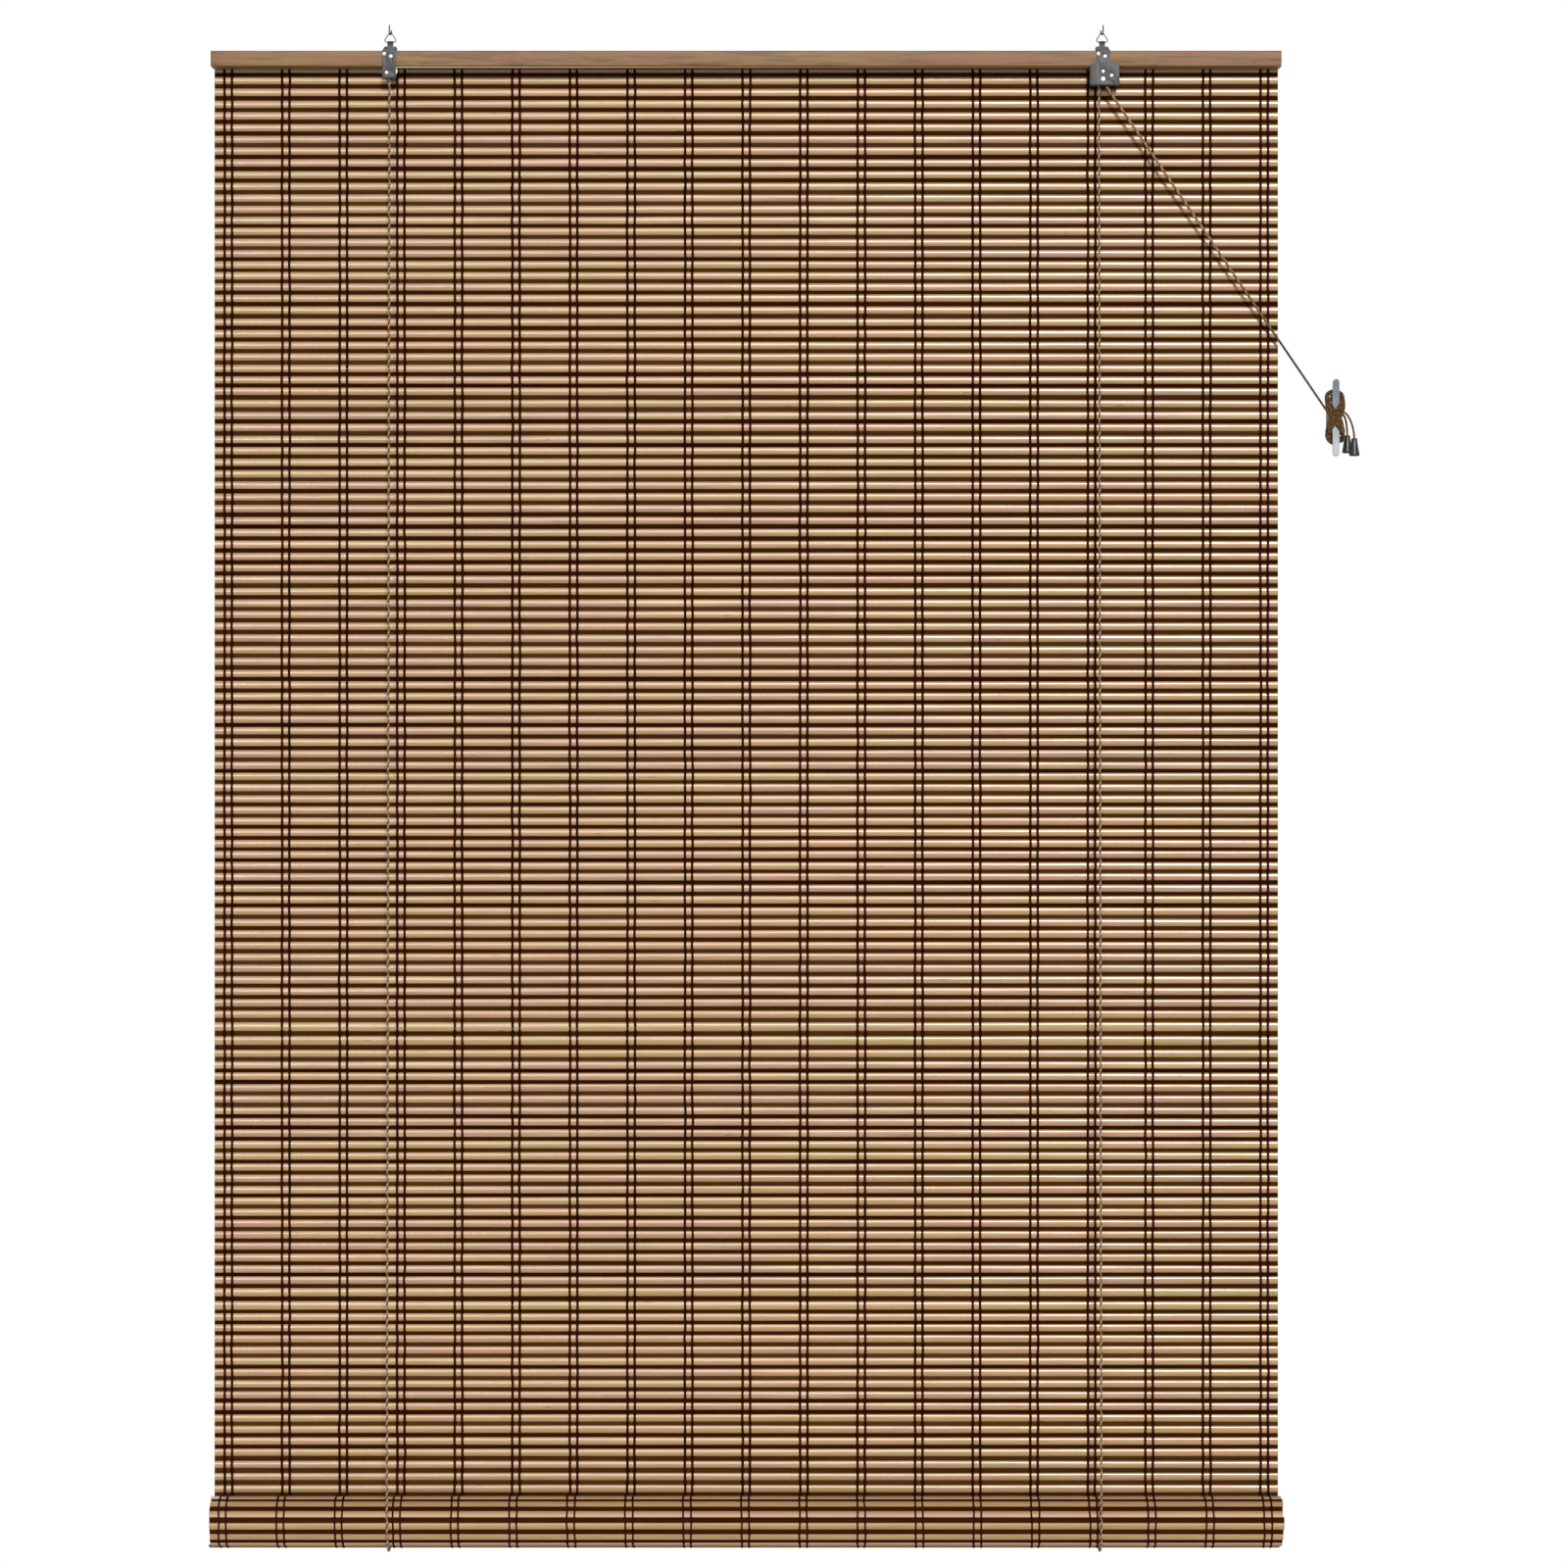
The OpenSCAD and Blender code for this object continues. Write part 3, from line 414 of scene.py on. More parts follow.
# Weave strings
# Nineteen pairs of dark cotton strings hold the mat. Each string runs over the face of every slat,
# and its partner over the back; they cross and are tied beside the sticks.
pairs, first_pair, pair_step, pair_half = 19, 15.5, 64.7778, 4.15
over_wide, edge_wide, tied_wide, slat_edge = 2.9, 3.1, 4.3, 4.1
string_x = np.array([
    -mat_half + first_pair + pair_step * i + s * pair_half for i in range(pairs) for s in (-1, 1)])


def strip(rings):
    """Points and faces of an open strip of rings."""
    count, across = rings.shape[:2]
    i, j = np.arange(count - 1)[:, None] * across, np.arange(across - 1)[None]
    faces = np.stack([i + j, i + j + 1, i + across + j + 1, i + across + j], -1).reshape(-1, 4)
    return rings.reshape(-1, 3), faces


def half_round(wide, proud):
    """Points across a string: how far to the side, and how far out."""
    return [(-wide / 2, 0), (-wide / 4, proud), (wide / 4, proud), (wide / 2, 0)]


def string_skin(x, first, last, side):
    """One string over the rows from first to last, on the front or the back."""
    rings = []
    sway = chance.normal(0, 0.25, last - first + 2)
    over, edge, tied, proud = (
        (4.3, 4.95, 5.1, -0.55) if side == "front" else (8.05, 7.75, 7.35, 0.55))
    for row in range(first, last + 1):
        stops = [(slat_z[row], over, over_wide, 0), (slat_z[row] - slat_edge, edge, edge_wide, 0.35)]
        if row < last:
            stops += [(stick_z[row], tied, tied_wide, 0.5),
                      (slat_z[row + 1] + slat_edge, edge, edge_wide, 0.65)]
        for z, y, wide, mix in stops:
            middle = x + sway[row - first] * (1 - mix) + sway[row - first + 1] * mix
            ring = half_round(wide, proud)[::1 if side == "front" else -1]
            rings.append([(middle + across, y + out, z) for across, out in ring])
    return strip(np.array(rings))


def place_on(made, axis):
    """The place of each point along an axis of the part, in metres."""
    place = add(made, "TexCoord", {}).outputs["Object"]
    return add(made, "SeparateXYZ", {0: place}).outputs[axis]


thread = new_material("thread", srgb(40, 22, 6), 0.9, specular=0.0)
wear = noise(thread, (300, 300, 60), 3)
strand = noise(thread, (2600, 2600, 900), 2)
colour = ramp(thread, wear, (0.35, srgb(34, 12, 3)), (0.7, srgb(54, 22, 8)))
# The knots are real, but their near-black colour, and that of the strings where they dip between the
# slats, is painted shade in the recess.
inward = add(thread, "Math", {0: place_on(thread, "Y"), 1: -0.0062}).outputs[0]
inward = add(thread, "Math", {0: inward}, operation="ABSOLUTE").outputs[0]
knot = rise(thread, inward, 0.0019, 0.0014)
colour = between(thread, knot, colour, srgb(20, 4, 2))
wire_up(thread, colour, spread(thread, strand, 0.7, 0.9), strand, 0.6, 0.0003)
for side, first_row in (("front", 1), ("back", 0)):
    upper = [string_skin(x, first_row, still_rows, side) for x in string_x]
    piece("strings_" + side + "_upper", upper, thread, "headrail", "string", "weave_strings",
          crease=80)
    lower = [string_skin(x, still_rows, rows - 1, side) for x in string_x]
    lower = piece("strings_" + side + "_lower", lower, thread, "headrail", "string", "weave_strings",
                  crease=80)
    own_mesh(lower)


# Bottom roll
# The lower end of the mat, about 42 more slats, wound forward round a wooden rod. The back of the
# mat is outside here, with the same strings across it.
roll_y, roll_z, roll_r, core_r = -23.22487, -1673.45, 29.4, 9.1
rolled_rows, string_rows, turn_fall = 42, 16, 0.7157


def spiral(s):
    """Radius and turn of the rolled mat, s mm along it from where the hanging part ends."""
    wound = s / (row_step * rolled_rows)
    radius = np.sqrt(roll_r**2 - wound * (roll_r**2 - core_r**2))
    return radius, (roll_r - radius) / turn_fall


def rolled(outline, s, shift):
    """A slat or stick in the roll, with its back outward."""
    radius, turn = spiral(s)
    outward = np.array([math.cos(turn), -math.sin(turn)])
    along = np.array([math.sin(turn), math.cos(turn)])
    stations = np.linspace(-mat_half, mat_half, 11)
    rings = []
    for x, up in zip(stations, wavy(stations, 400, 0.1)):
        y, h = outline[:, 0] - mat_y, outline[:, 1] + up
        middle = np.array([roll_y, roll_z]) + radius * outward
        place = middle + y[:, None] * outward + h[:, None] * along
        rings.append(np.column_stack([np.full(len(y), x + shift), place]))
    return skin(np.array(rings))


# In the roll the slats lie a little apart, and more of the sticks shows between them.
roll_slats, roll_sticks = [], []
slat_size, stick_size, slat_before, stick_after = (1, 0.86), (1, 1.55), 4.3, 2.2
for row in range(1, rolled_rows + 1):
    shift = np.clip(chance.normal(0, 1.0), -2.6, 2.6)
    roll_slats.append(rolled(slat_outline * slat_size, row_step * row - slat_before, shift))
    if row < rolled_rows:
        roll_sticks.append(rolled(stick_outline * stick_size, row_step * row + stick_after, shift))
bamboo_back = new_material("bamboo_back", srgb(156, 122, 88), 0.46, specular=0.5)
patches = noise(bamboo_back, (3.2, 60, 60), 2)
colour = ramp(
    bamboo_back, weighed(bamboo_back, (own_tone(bamboo_back), 0.55), (patches, 0.75)),
    (0.25, srgb(146, 114, 70)), (0.5, srgb(158, 124, 84)), (0.75, srgb(152, 114, 82)),
    (0.95, srgb(168, 136, 96)))
fibre = noise(bamboo_back, (26, 900, 900), 4, 0.65)
dark_fibre = ramp(bamboo_back, fibre, (0.3, (0.7, 0.66, 0.6, 1)), (0.58, white))
colour = tint(bamboo_back, colour, dark_fibre, 0.7)
wire_up(bamboo_back, colour, spread(bamboo_back, fibre, 0.4, 0.54), fibre, 0.2, 0.00012)
for name, made, skins in (
        ("rolled_slats", bamboo_back, roll_slats), ("rolled_sticks", dark_stick, roll_sticks)):
    piece(name, skins, made, "roll", "bamboo", "bottom_roll", tones=chance.uniform(0, 1, len(skins)))

rolled_thread = new_material("rolled_thread", srgb(40, 12, 8), 0.9, specular=0.0)
wear = noise(rolled_thread, (300, 120, 120), 3)
strand = noise(rolled_thread, (2600, 1200, 1200), 2)
colour = ramp(rolled_thread, wear, (0.35, srgb(30, 7, 5)), (0.7, srgb(54, 20, 14)))
wire_up(rolled_thread, colour, None, strand, 0.6, 0.0003)
roll_strings = []
# Where a string goes in each row: distance along the mat, distance out from its middle, and width.
row_stops = ((2.2, 1.35, 3.2), (5.2, 1.85, 2.2), (8.7, 1.85, 2.0), (12.2, 1.85, 2.2))
for x in string_x:
    rings = []
    sway = chance.normal(0, 0.35, string_rows + 1)
    for row in range(string_rows):
        for ds, out, wide in row_stops:
            radius, turn = spiral(row_step * row + ds)
            slip = np.interp(ds / row_step, [0, 1], sway[row:row + 2])
            middle = x - 0.8 * turn / math.pi + slip
            ring = []
            for across, proud in half_round(wide, 0.28)[::-1]:
                reach = radius + out + proud
                y, z = roll_y + reach * math.cos(turn), roll_z - reach * math.sin(turn)
                ring.append((middle + across, y, z))
            rings.append(ring)
    roll_strings.append(strip(np.array(rings)))
piece("rolled_strings", roll_strings, rolled_thread, "roll", "string", "bottom_roll", crease=80)

rod_wood = new_material("rod_wood", srgb(178, 138, 96), 0.55)
grain = noise(rod_wood, (18, 700, 700), 4, 0.6)
colour = ramp(rod_wood, grain, (0.3, srgb(142, 104, 66)), (0.65, srgb(188, 150, 106)))
wire_up(rod_wood, colour, spread(rod_wood, grain, 0.48, 0.65), grain, 0.25, 0.0002)
rod_r, rod_end = 7.0, [(597.7, 7.0), (598.5, 6.2)]
rod_angles = np.radians(np.arange(0, 360, 15))
rod_profile = [(-x, r) for x, r in rod_end[::-1]]
rod_profile += [(x, rod_r) for x in np.linspace(-590, 590, 7)] + rod_end
rings = []
for x, r in rod_profile:
    y, z = roll_y + r * np.cos(rod_angles), roll_z + r * np.sin(rod_angles)
    rings.append(np.column_stack([np.full(len(rod_angles), x), y, z]))
piece("rod", [skin(np.array(rings))], rod_wood, "roll", "rod_wood", "bottom_rod")


# Staples
# Bright wire staples in the back of the mat: nine hold the top slat, and one straddles the top of
# each rear cord. Their crowns are square-cornered wire.
def softened(node, made, width, steps=2):
    """A CAD node's own shape with edges rounded by a width in mm, standing for the node."""
    source = frame["nodes"][node]
    work = bmesh.new()
    work.from_mesh(source.data)
    work.transform(source.matrix_world)
    bmesh.ops.remove_doubles(work, verts=work.verts, dist=2e-6)
    bmesh.ops.dissolve_limit(
        work, angle_limit=math.radians(1.5), verts=work.verts, edges=work.edges)
    mesh = bpy.data.meshes.new(node + "_soft")
    work.to_mesh(mesh)
    work.free()
    made_piece = bpy.data.objects.new(node + "_soft", mesh)
    scene.collection.objects.link(made_piece)
    edge = made_piece.modifiers.new("edge", "BEVEL")
    edge.width, edge.segments = width / 1000, steps
    edge.limit_method, edge.angle_limit = "ANGLE", math.radians(32)
    rounded = made_piece.evaluated_get(bpy.context.evaluated_depsgraph_get())
    shaped = bpy.data.meshes.new_from_object(rounded)
    made_piece.modifiers.clear()
    made_piece.data = shaped
    shaped.shade_smooth()
    shaped.set_sharp_from_angle(angle=math.radians(34))
    shaped.materials.clear()
    shaped.materials.append(made)
    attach(made_piece, body_of(source)[0])
    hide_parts(node)


def metal(name, base, roughness, metallic, cells, dark, pale, shine, bump, detail=3):
    """A metal with blotches from dark to pale, and a roughness that varies with them."""
    made = new_material(name, base, roughness, metallic)
    rub = noise(made, (cells, cells, cells), detail)
    wire_up(made, ramp(made, rub, dark, pale), spread(made, rub, *shine), rub, bump, 0.0001)
    return made


staple_wire = metal(
    "staple_wire", srgb(196, 196, 192), 0.34, 1.0, 900,
    (0.3, srgb(160, 160, 158)), (0.7, srgb(214, 214, 210)), (0.26, 0.46), 0.15)
for node in ("mat_staples", "cord_staples"):
    softened(node, staple_wire, 0.18)


# Brackets and cheeks
# Pressed from 1.2 mm steel sheet and zinc plated: a strap over the headrail with a neck and a rolled
# eye, and a cheek plate behind it. The zinc is dull, blue-grey and mottled; the neck and eye are
# painted near black as painted shade.
bracket_steel = new_material("bracket_steel", srgb(90, 92, 94), 0.5, 0.4)
mottle = noise(bracket_steel, (260, 260, 260), 4, 0.7)
speck = noise(bracket_steel, (1600, 1600, 1600), 2)
colour = ramp(
    bracket_steel, mottle,
    (0.3, srgb(31, 34, 33)), (0.5, srgb(50, 51, 50)), (0.72, srgb(66, 61, 64)))
dark_specks = ramp(bracket_steel, speck, (0.35, (0.6, 0.6, 0.6, 1)), (0.6, white))
colour = tint(bracket_steel, colour, dark_specks, 0.5)
# Painted shade: everything above the neck's foot is painted near black.
painted_neck_shade = rise(bracket_steel, place_on(bracket_steel, "Z"), -0.0245, -0.0225)
colour = between(bracket_steel, painted_neck_shade, colour, srgb(36, 38, 40))
wire_up(bracket_steel, colour, spread(bracket_steel, mottle, 0.42, 0.6), speck, 0.25, 0.00015)
for node in ("left_bracket", "lock_bracket", "left_cheek", "lock_cheek"):
    softened(node, bracket_steel, 0.3)


# Rivets and screws
# Bright steel: domed rivets are the axles and pins between the plates, and round-head screws hold
# the brackets to the headrail. The left axle and the spacer are dull like the plates.
def circle(sides):
    """Angles round a circle."""
    return np.linspace(0, 2 * math.pi, sides, endpoint=False)


def turned(profile, x, y, z):
    """A skin turned about a line along y: profile gives (distance along y, radius)."""
    a = circle(24)
    rings = [
        np.column_stack([x + r * np.cos(a), np.full(len(a), y + step), z - r * np.sin(a)])
        for step, r in profile]
    return skin(np.array(rings))


def domed(radius, height):
    """Profile of a round head that ends at zero along y."""
    angles = np.radians([12, 35, 55, 72, 90])
    return [(-height * math.cos(a), radius * math.sin(a)) for a in angles]


bright_steel = metal(
    "bright_steel", srgb(244, 244, 242), 0.28, 0.35, 1400,
    (0.3, srgb(226, 226, 224)), (0.7, srgb(250, 250, 248)), (0.14, 0.28), 0.1)
rivet_tall, collar_r, collar_from, collar_to = 0.62, 2.45, 1.8, 1.9
for node, pin_r, made in (
        ("left_axle", 1.25, bracket_steel), ("left_keeper", 1.25, bright_steel),
        ("lock_axle", 1.25, bright_steel), ("guide_post", 1.25, bright_steel),
        ("cam_pin", 1.0, bright_steel), ("lock_spacer", 1.0, bracket_steel)):
    low, high = box_mm(node)
    x, z, r = (low[0] + high[0]) / 2, (low[2] + high[2]) / 2, (high[0] - low[0]) / 2
    long, head = high[1] - low[1], domed(r, rivet_tall)
    profile = [(rivet_tall + step, size) for step, size in head] + [(rivet_tall, pin_r)]
    if node == "guide_post":
        profile += [(collar_from, pin_r), (collar_from, collar_r)]
        profile += [(long - collar_to, collar_r), (long - collar_to, pin_r)]
    profile += [(long - rivet_tall, pin_r)]
    profile += [(long - rivet_tall - step, size) for step, size in head[::-1]]
    piece(node + "_pin", [turned(profile, x, low[1], z)], made,
          body_of(frame["nodes"][node])[0], "rivet_steel", node)

screw_head_r, screw_head_tall, root_r, crest_r, screw_pitch = 2.1, 1.05, 0.85, 1.08, 0.7
low, high = box_mm("bracket_screws")
long = high[1] - low[1]
profile = [(screw_head_tall + step, size) for step, size in domed(screw_head_r, screw_head_tall)]
depth = screw_head_tall
while depth < long - 2.2:
    profile += [(depth, root_r), (depth + screw_pitch / 2, crest_r)]
    depth += screw_pitch
profile += [(long - 1.6, 0.7), (long, 0.1)]
screw_skins = [
    turned(profile, x + dx, low[1], z)
    for x in (-400, 400) for dx, z in ((-5.236, -30.225), (2.156, -33.025))]
piece("bracket_screw_heads", screw_skins, bright_steel, "headrail", "screw_steel", "bracket_screws")


# Pulleys and cam
# Grooved nylon wheels, off-white with a smooth moulded face, and a toothed brass cam that drops on
# the cords and locks them.
nylon = new_material("nylon", srgb(222, 220, 212), 0.42)
cloud = noise(nylon, (500, 500, 500), 3)
colour = ramp(nylon, cloud, (0.3, srgb(206, 203, 194)), (0.7, srgb(230, 228, 222)))
fine = noise(nylon, (3000, 3000, 3000), 2)
wire_up(nylon, colour, spread(nylon, cloud, 0.36, 0.5), fine, 0.1, 0.0001)
for node in ("left_pulley", "lock_pulley_front", "lock_pulley_rear"):
    softened(node, nylon, 0.2)
brass = metal(
    "brass", srgb(196, 160, 92), 0.3, 1.0, 700,
    (0.3, srgb(160, 124, 66)), (0.7, srgb(210, 176, 106)), (0.24, 0.42), 0.2, detail=4)
softened("lock_cam", brass, 0.15)


# Hooks and rings
# Bent from round steel wire: a screw hook in the lintel on each side, and a three-cornered ring that
# hangs from it and carries the bracket's eye.
def frames(path, hint):
    """Each point of a path, with two directions square to it that don't twist about it."""
    heading = np.gradient(path, axis=0)
    heading /= np.linalg.norm(heading, axis=1)[:, None]
    side = np.cross(heading[0], hint)
    for point, ahead in zip(path, heading):
        side = side - ahead * (side @ ahead)
        side /= np.linalg.norm(side)
        yield point, side, np.cross(ahead, side)


def tube(path, radius, sides=14):
    """A skin round a path of points in mm; radius is one number or one for each point."""
    path = np.array(path, float)
    radius = np.broadcast_to(radius, len(path))
    a = circle(sides)[:, None]
    rings = [
        point + r * (np.cos(a) * side + np.sin(a) * other)
        for (point, side, other), r in zip(frames(path, (0.3, 1.0, 0.2)), radius)]
    return skin(np.array(rings))


def arc(x, y, z, r, start, end, steps=10):
    """Points of an arc in the plane of the blind, by angles in degrees."""
    angles = np.radians(np.linspace(start, end, steps + 1))
    return [(x + r * math.cos(t), y, z + r * math.sin(t)) for t in angles]


hook_wire = metal(
    "hook_wire", srgb(96, 98, 100), 0.36, 0.85, 900,
    (0.3, srgb(20, 21, 22)), (0.72, srgb(60, 61, 63)), (0.28, 0.5), 0.2)
ring_steel = metal(
    "ring_steel", srgb(186, 188, 190), 0.3, 0.9, 900,
    (0.3, srgb(48, 49, 51)), (0.72, srgb(104, 106, 108)), (0.24, 0.42), 0.15)
ring_y, bar_z, apex_z, ring_half, ring_bend, ring_wire = -2.42487, -14.55, -4.25, 3.9, 2.2, 0.64
ring_lean = math.degrees(math.atan2(ring_half, apex_z - bar_z - 2 * ring_bend))

# A hook as points of (distance from its middle, height above its bend), with a radius for each.
bend_r, wire_r, hook_z = 2.8, 0.8, -3.2
thread_from, taper_from, shank_top, hook_pitch, thread_deep = 3.2, 7.4, 9.2, 0.8, 0.16
half_turn = np.radians(np.linspace(6, 174, 16))
bend = [(-bend_r, 0.05)] + [(-bend_r * math.cos(t), -bend_r * math.sin(t)) for t in half_turn]
bend += [(bend_r, up) for up in (0.05, 1.0, 1.45, 1.7)]
bend_radii = [wire_r] * (len(bend) - 2) + [0.66, 0.3]
shank, shank_radii = [], []
for up in np.linspace(0.05, shank_top, 62):
    taper = 0 if up < taper_from else (up - taper_from) / (shank_top - taper_from) * 0.6
    cut = 0.5 + 0.5 * math.cos(up * 2 * math.pi / hook_pitch)
    shank.append((-bend_r, up))
    shank_radii.append(wire_r - taper - (0 if up < thread_from else thread_deep * cut))
for side, x, turn in (("left", -400, -60), ("right", 400, 240)):
    loop = [(x + step, ring_y, bar_z) for step in (-ring_half, -1.5, 1.5)]
    loop += arc(x + ring_half, ring_y, bar_z + ring_bend, ring_bend, -90, ring_lean)
    loop += arc(x, ring_y, apex_z - ring_bend, ring_bend, ring_lean, 180 - ring_lean)
    loop += arc(x - ring_half, ring_y, bar_z + ring_bend, ring_bend, 180 - ring_lean, 270)
    piece(side + "_ring_wire", [tube(loop, ring_wire)], ring_steel, "rings", "hook_wire",
          side + "_ring")

    c, s = math.cos(math.radians(turn)), math.sin(math.radians(turn))
    hook = [
        tube([(x + c * off, ring_y + s * off, up + hook_z) for off, up in way], radii)
        for way, radii in ((bend, bend_radii), (shank, shank_radii))]
    piece(side + "_screw_hook", hook, hook_wire, "fixings", "hook_wire", side + "_hook")


# Lift cords
# Two twisted cords, each of a tan, a light brown and a brown yarn, 2.8 mm thick. Each runs from its
# pulley down in front of the mat, under the roll and up the back to a knot behind the headrail.
cord_thick, yarn_pitch = 2.8, 8.0


def along(path, step):
    """Points at even steps along a path in mm, and how far along it each one lies."""
    path = np.array(path, float)
    run = np.concatenate([[0], np.cumsum(np.linalg.norm(np.diff(path, axis=0), axis=1))])
    places = np.linspace(0, run[-1], max(3, int(run[-1] / step) + 1))
    return np.column_stack([np.interp(places, run, path[:, i]) for i in range(3)]), places


def twisted(name, path, made, body, *nodes):
    """A piece of three twisted yarns along a path."""
    path, places = along(path, yarn_pitch / 7)
    a = circle(5)
    yarns = ([], [], [])
    for (point, side, other), place in zip(frames(path, (0.31, 0.83, 0.47)), places):
        for yarn, start in zip(yarns, (0, 2 * math.pi / 3, 4 * math.pi / 3)):
            turn = start + 2 * math.pi * place / yarn_pitch
            middle = point + cord_thick / 4 * (math.cos(turn) * side + math.sin(turn) * other)
            ring = np.cos(a + turn)[:, None] * side + np.sin(a + turn)[:, None] * other
            yarn.append(middle + cord_thick / 4 * ring)
    skins = [skin(np.array(yarn)) for yarn in yarns]
    return piece(name, skins, made, body, "cord", *nodes, tones=(0, 1, 0.6), crease=70)


def cotton(made, colour, shade=(0.6, 0.55, 0.5, 1), amount=0.6, shine=(0.65, 0.88)):
    """Links a colour to a cord's material, with fuzz in the colour, the roughness and the bump."""
    fuzz = noise(made, (900, 900, 900), 3)
    colour = tint(made, colour, ramp(made, fuzz, (0.3, shade), (0.6, white)), amount)
    fine = noise(made, (2400, 2400, 2400), 2)
    wire_up(made, colour, spread(made, fuzz, *shine), fine, 0.5, 0.0002)


lift_pale, lift_brown = srgb(182, 152, 120), srgb(70, 46, 32)
lift_yarn = new_material("lift_yarn", lift_pale, 0.8, specular=0.1)
cotton(lift_yarn, ramp(lift_yarn, own_tone(lift_yarn), (0.2, lift_brown), (0.8, lift_pale)))
front_y, rear_y, sling_r, sling_end, lift = -18.42487, -13.72487, 33.25, 0.3, 1500
left_x, right_x, pulley_x, pulley_r, lock_x, lock_end = -399.7, 395.8, 400, 4.2, 404.2, -65.35
for side, x, y, z in (("left", left_x, front_y, -49.75), ("right", right_x, rear_y, -50.25)):
    down = [(x, y, z), (x, roll_y - sling_r, roll_z + sling_end)]
    cord = twisted(side + "_lift_yarns", down, lift_yarn, "headrail", side + "_lift_cord")
    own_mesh(cord)
    under = [
        (x, roll_y + sling_r * math.cos(a), roll_z + sling_r * math.sin(a))
        for a in np.radians(np.linspace(180, 360, 60))]
    twisted(side + "_sling_yarns", under, lift_yarn, "slings", side + "_sling")
    top = box_mm(side + "_rear_cord")[1][2]
    rear = [(x, roll_y + sling_r, top), (x, roll_y + sling_r, roll_z + sling_end)]
    cord = twisted(side + "_rear_yarns", rear, lift_yarn, "headrail", side + "_rear_cord")
    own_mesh(cord)

# The left cord's run along the headrail has a painted highlight on top, brightest on the left,
# and below it the cord is painted one dark brown as painted shade.
head_yarn = new_material("head_yarn", srgb(250, 238, 214), 0.8, specular=0.1)
painted_top_highlight = rise(head_yarn, place_on(head_yarn, "Z"), -0.0455, -0.0451)
painted_highlight_fade = ramp(
    head_yarn, rise(head_yarn, place_on(head_yarn, "X"), -0.39, 0.31),
    (0.0, srgb(255, 252, 242)), (0.38, srgb(246, 208, 172)), (0.6, srgb(196, 156, 124)),
    (1.0, srgb(130, 96, 72)))
colour = between(head_yarn, painted_top_highlight, srgb(74, 50, 34), painted_highlight_fade)
cotton(head_yarn, colour, (0.7, 0.68, 0.64, 1), 0.5, (0.7, 0.88))
head_way = arc(-396, front_y, -49.45, 3.7, 180, 90)
head_way += arc(pulley_x, front_y, -49.95, pulley_r, 90, 0) + [(lock_x, front_y, lock_end)]
twisted("head_yarns", head_way, head_yarn, "headrail", "head_cord")
lock_way = arc(pulley_x, rear_y, -49.95, pulley_r, 180, 0, 20) + [(lock_x, rear_y, lock_end)]
twisted("lock_yarns", lock_way, lift_yarn, "headrail", "lock_cord")
knots = []
for x in (left_x, right_x):
    bow = [
        (x + 1.9 * math.cos(t) * (1 + 0.15 * math.sin(3 * t)),
         10.025 + 0.5 * math.sin(2 * t), -28.7 + 1.5 * math.sin(t))
        for t in np.linspace(0, 4 * math.pi, 60)]
    knots.append(tube(bow, 0.9, 8))
piece("rear_knots", knots, lift_yarn, "headrail", "cord", "cord_knots", crease=70)


# Cleat
# One moulding in pale blue-grey plastic: two curved horns with round ends on a post, and a foot on
# the wall. It has two countersunk screws. Its upper horn is painted darker as painted shade.
cleat_plastic = new_material("cleat_plastic", srgb(170, 182, 198), 0.4)
cloud = noise(cleat_plastic, (120, 120, 60), 3)
colour = ramp(cleat_plastic, cloud, (0.3, srgb(114, 124, 132)), (0.7, srgb(130, 140, 147)))
# Painted shade: the cleat darkens towards its upper horn.
painted_upper_shade = ramp(
    cleat_plastic, rise(cleat_plastic, place_on(cleat_plastic, "Z"), -0.47, -0.4),
    (0.1, (0.86, 0.87, 0.89, 1)), (0.9, (0.52, 0.56, 0.58, 1)))
fine = noise(cleat_plastic, (2200, 2200, 2200), 2)
wire_up(
    cleat_plastic, tint(cleat_plastic, colour, painted_upper_shade, 1.0), spread(cleat_plastic, cloud, 0.34, 0.48),
    fine, 0.12, 0.0001)
softened("cleat", cleat_plastic, 1.3, 4)
softened("cleat_screws", bright_steel, 0.3)


# Pull cords and tassels
# The same two cords below the lock. They slant to the cleat, are wound on it in figures of eight
# and end in two bell-shaped plastic pulls, each held by a knot inside it.
pull_pale, pull_brown = srgb(186, 155, 122), srgb(118, 90, 66)
pull_yarn = new_material("pull_yarn", pull_pale, 0.8, specular=0.1)
colour = ramp(pull_yarn, own_tone(pull_yarn), (0.2, pull_brown), (0.8, pull_pale))
grey, brown = (0.27, 0.33, 0.42, 1), (0.36, 0.3, 0.2, 1)
# The cords are tinted by their place along x: greyer and darker past the mat's right edge, brown on
# the cleat and darker again in the tails.
tint_along_x = ramp(
    pull_yarn, rise(pull_yarn, place_on(pull_yarn, "X"), 0.4, 0.68),
    (0.0, white), (0.45, (0.9, 0.88, 0.85, 1)), (0.68, (0.5, 0.5, 0.52, 1)), (0.74, grey),
    (0.87, grey), (0.9, brown), (0.97, brown), (1.0, (0.34, 0.32, 0.28, 1)))
cotton(pull_yarn, tint(pull_yarn, colour, tint_along_x, 1.0))
tassel_plastic = new_material("tassel_plastic", srgb(40, 40, 42), 0.34, specular=0.4)
swirl = noise(tassel_plastic, (160, 160, 60), 3)
colour = ramp(tassel_plastic, swirl, (0.3, srgb(14, 14, 15)), (0.7, srgb(32, 32, 34)))
fine = noise(tassel_plastic, (1500, 1500, 1500), 2)
wire_up(tassel_plastic, colour, spread(tassel_plastic, swirl, 0.28, 0.42), fine, 0.15, 0.0001)

# The winding's middle, the angles from its first turn to its last, and the size of a turn.
wind = np.array([662.5, -3.625, -437.0])
wind_from, wind_to, wind_step, turn_wide, turn_tall = 60, 2425, 7.5, 9.6, 25


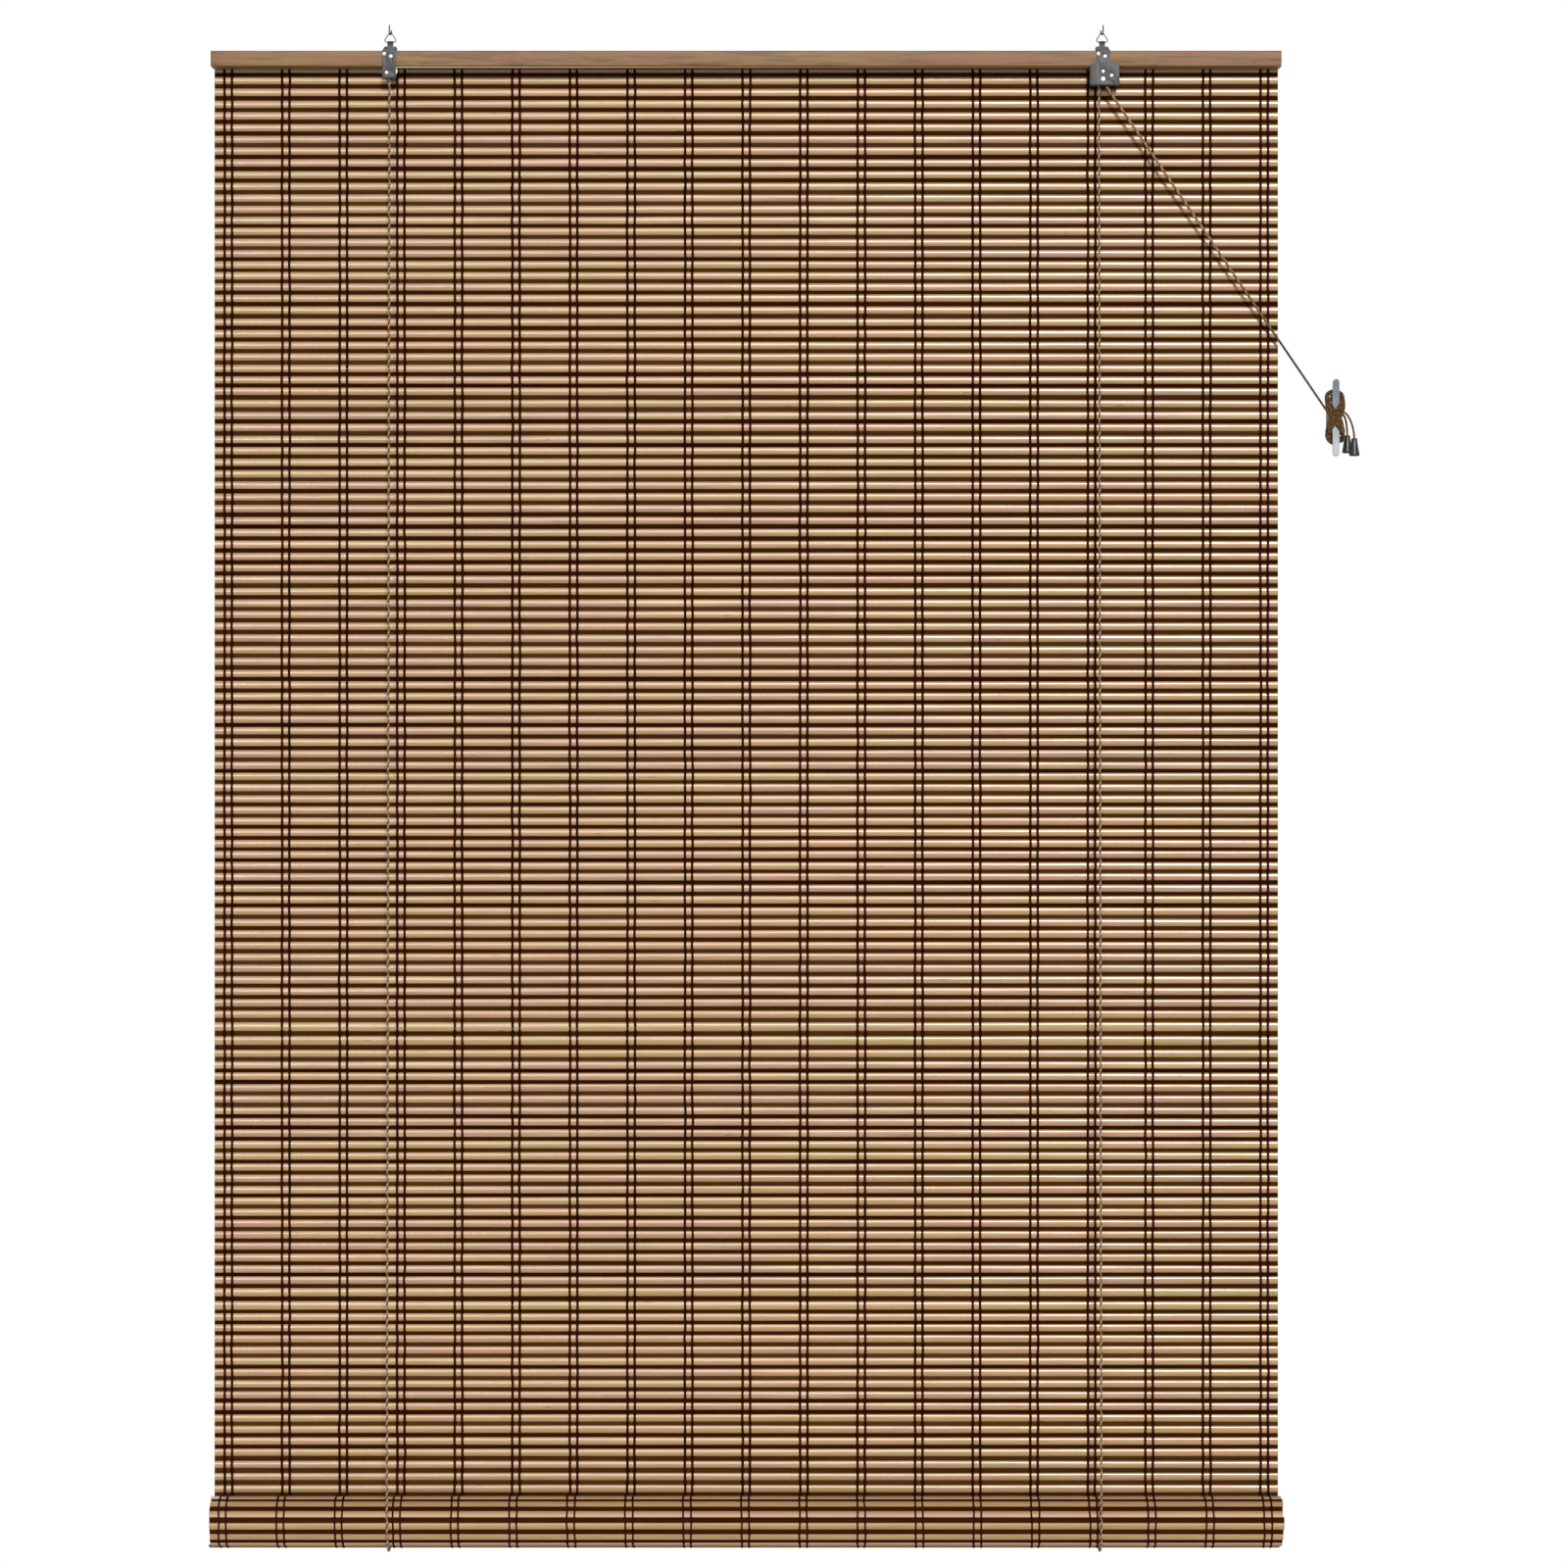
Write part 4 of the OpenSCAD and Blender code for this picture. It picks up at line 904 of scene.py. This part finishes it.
def winding(outer):
    """Points of a cord's figures of eight on the cleat. outer is 1 for the cord that lies outside."""
    points = []
    for f in np.radians(np.arange(wind_from, wind_to, wind_step)):
        part = f / math.radians(wind_to)
        vary = min(1, 4 * math.sin(math.pi * part))
        wide = turn_wide + 1.2 * vary * math.sin(0.83 * f + 1.2 * outer)
        tall = turn_tall + 6 * vary * math.sin(0.61 * f + 2 * outer + 1)
        crossing = 7 * math.sin(2 * math.pi * (5.3 * part - 0.22 - 0.08 * outer)) - 1
        front_part = min(1, 1.25 * math.sin(f) ** 2)
        front, back = -4.9 - 2.6 * part - 0.4 * outer, 4.4 + 3.4 * part
        points.append(wind + (
            -0.8 - wide * math.sin(2 * f), front * front_part + back * (1 - front_part),
            1.5 + tall * math.cos(f) + crossing * math.sin(f) ** 2))
    return points


def swing(start, leave, end, arrive):
    """Points of a smooth curve that leaves start and arrives at end along given directions."""
    return [
        (2 * t**3 - 3 * t**2 + 1) * start + (t**3 - 2 * t**2 + t) * leave
        + (3 * t**2 - 2 * t**3) * end + (t**3 - t**2) * arrive
        for t in np.linspace(0.06, 1, 22)]


# A bell's wall as (height, radius), from the hole in its top down the outside and up the inside.
bell = [
    (-2.4, 1.5), (-0.6, 1.46), (0.0, 1.7), (0.0, 2.5), (-0.25, 2.95), (-0.8, 3.2), (-5, 3.75),
    (-11, 4.7), (-15, 5.4), (-17.2, 5.85), (-18.4, 6.0), (-19.3, 5.9), (-19.9, 5.5), (-20.0, 5.0),
    (-19.4, 4.7), (-16, 4.3), (-9, 3.1), (-3.6, 2.1), (-2.5, 1.55)]
bell_sides, way_step = 32, 1.2
a = circle(bell_sides)
i, j = np.arange(len(bell))[:, None], np.arange(bell_sides)[None]
k, m = (i + 1) % len(bell) * bell_sides, (j + 1) % bell_sides
i = i * bell_sides
bell_faces = np.stack([i + j, k + j, k + m, i + m], -1).reshape(-1, 4)
for side, outer, y, deep, top, leaving, arriving, nodes in (
        ("front", 0, front_y, -4.5, (20.5, -4, -23), 70, 50, ["cleat_winding"]),
        ("rear", 1, rear_y, -2.5, (14, 8.5, -19), 60, 60, [])):
    top = wind + top
    start, arrive = np.array([lock_x, y, -66.75]), wind + (-9.5, deep, 6.5)
    loops = winding(outer)
    leave = loops[-1] - loops[-2]
    leave *= leaving / np.linalg.norm(leave)
    drop = swing(loops[-1], leave, top, np.array((0, 0, -arriving)))
    inside = [top - (0, 0, 1.7), top - (0, 0, 3.4)]
    way = np.concatenate([np.linspace(start, arrive, 30), loops[5:], drop, inside])
    way = along(way, way_step)[0]
    for _ in range(16):
        way[1:-1] = (way[:-2] + 2 * way[1:-1] + way[2:]) / 4
    way, places = along(way, way_step)
    cord = twisted("pull_yarns_" + side, way, pull_yarn, "fixings",
                   "pull_cord_" + side, "tail_" + side, *nodes)
    rings = np.array([
        np.column_stack([
            top[0] + r * np.cos(a), top[1] + r * np.sin(a), np.full(bell_sides, top[2] + h)])
        for h, r in bell])
    pull = piece("bell_" + side, [(rings.reshape(-1, 3), bell_faces)], tassel_plastic,
                 "fixings", "tassel_plastic", "tassel_" + side, crease=60)
    knot = [
        top + (math.cos(t), math.sin(t), -3.8 - 0.1 * math.sin(2 * t))
        for t in np.linspace(0, 4 * math.pi, 40)]
    tied = piece("bell_knot_" + side, [tube(knot, 0.85, 8)], pull_yarn,
                 "fixings", "cord", "tassel_knots", crease=70)
    [tuple(p / 1000) for p in way]
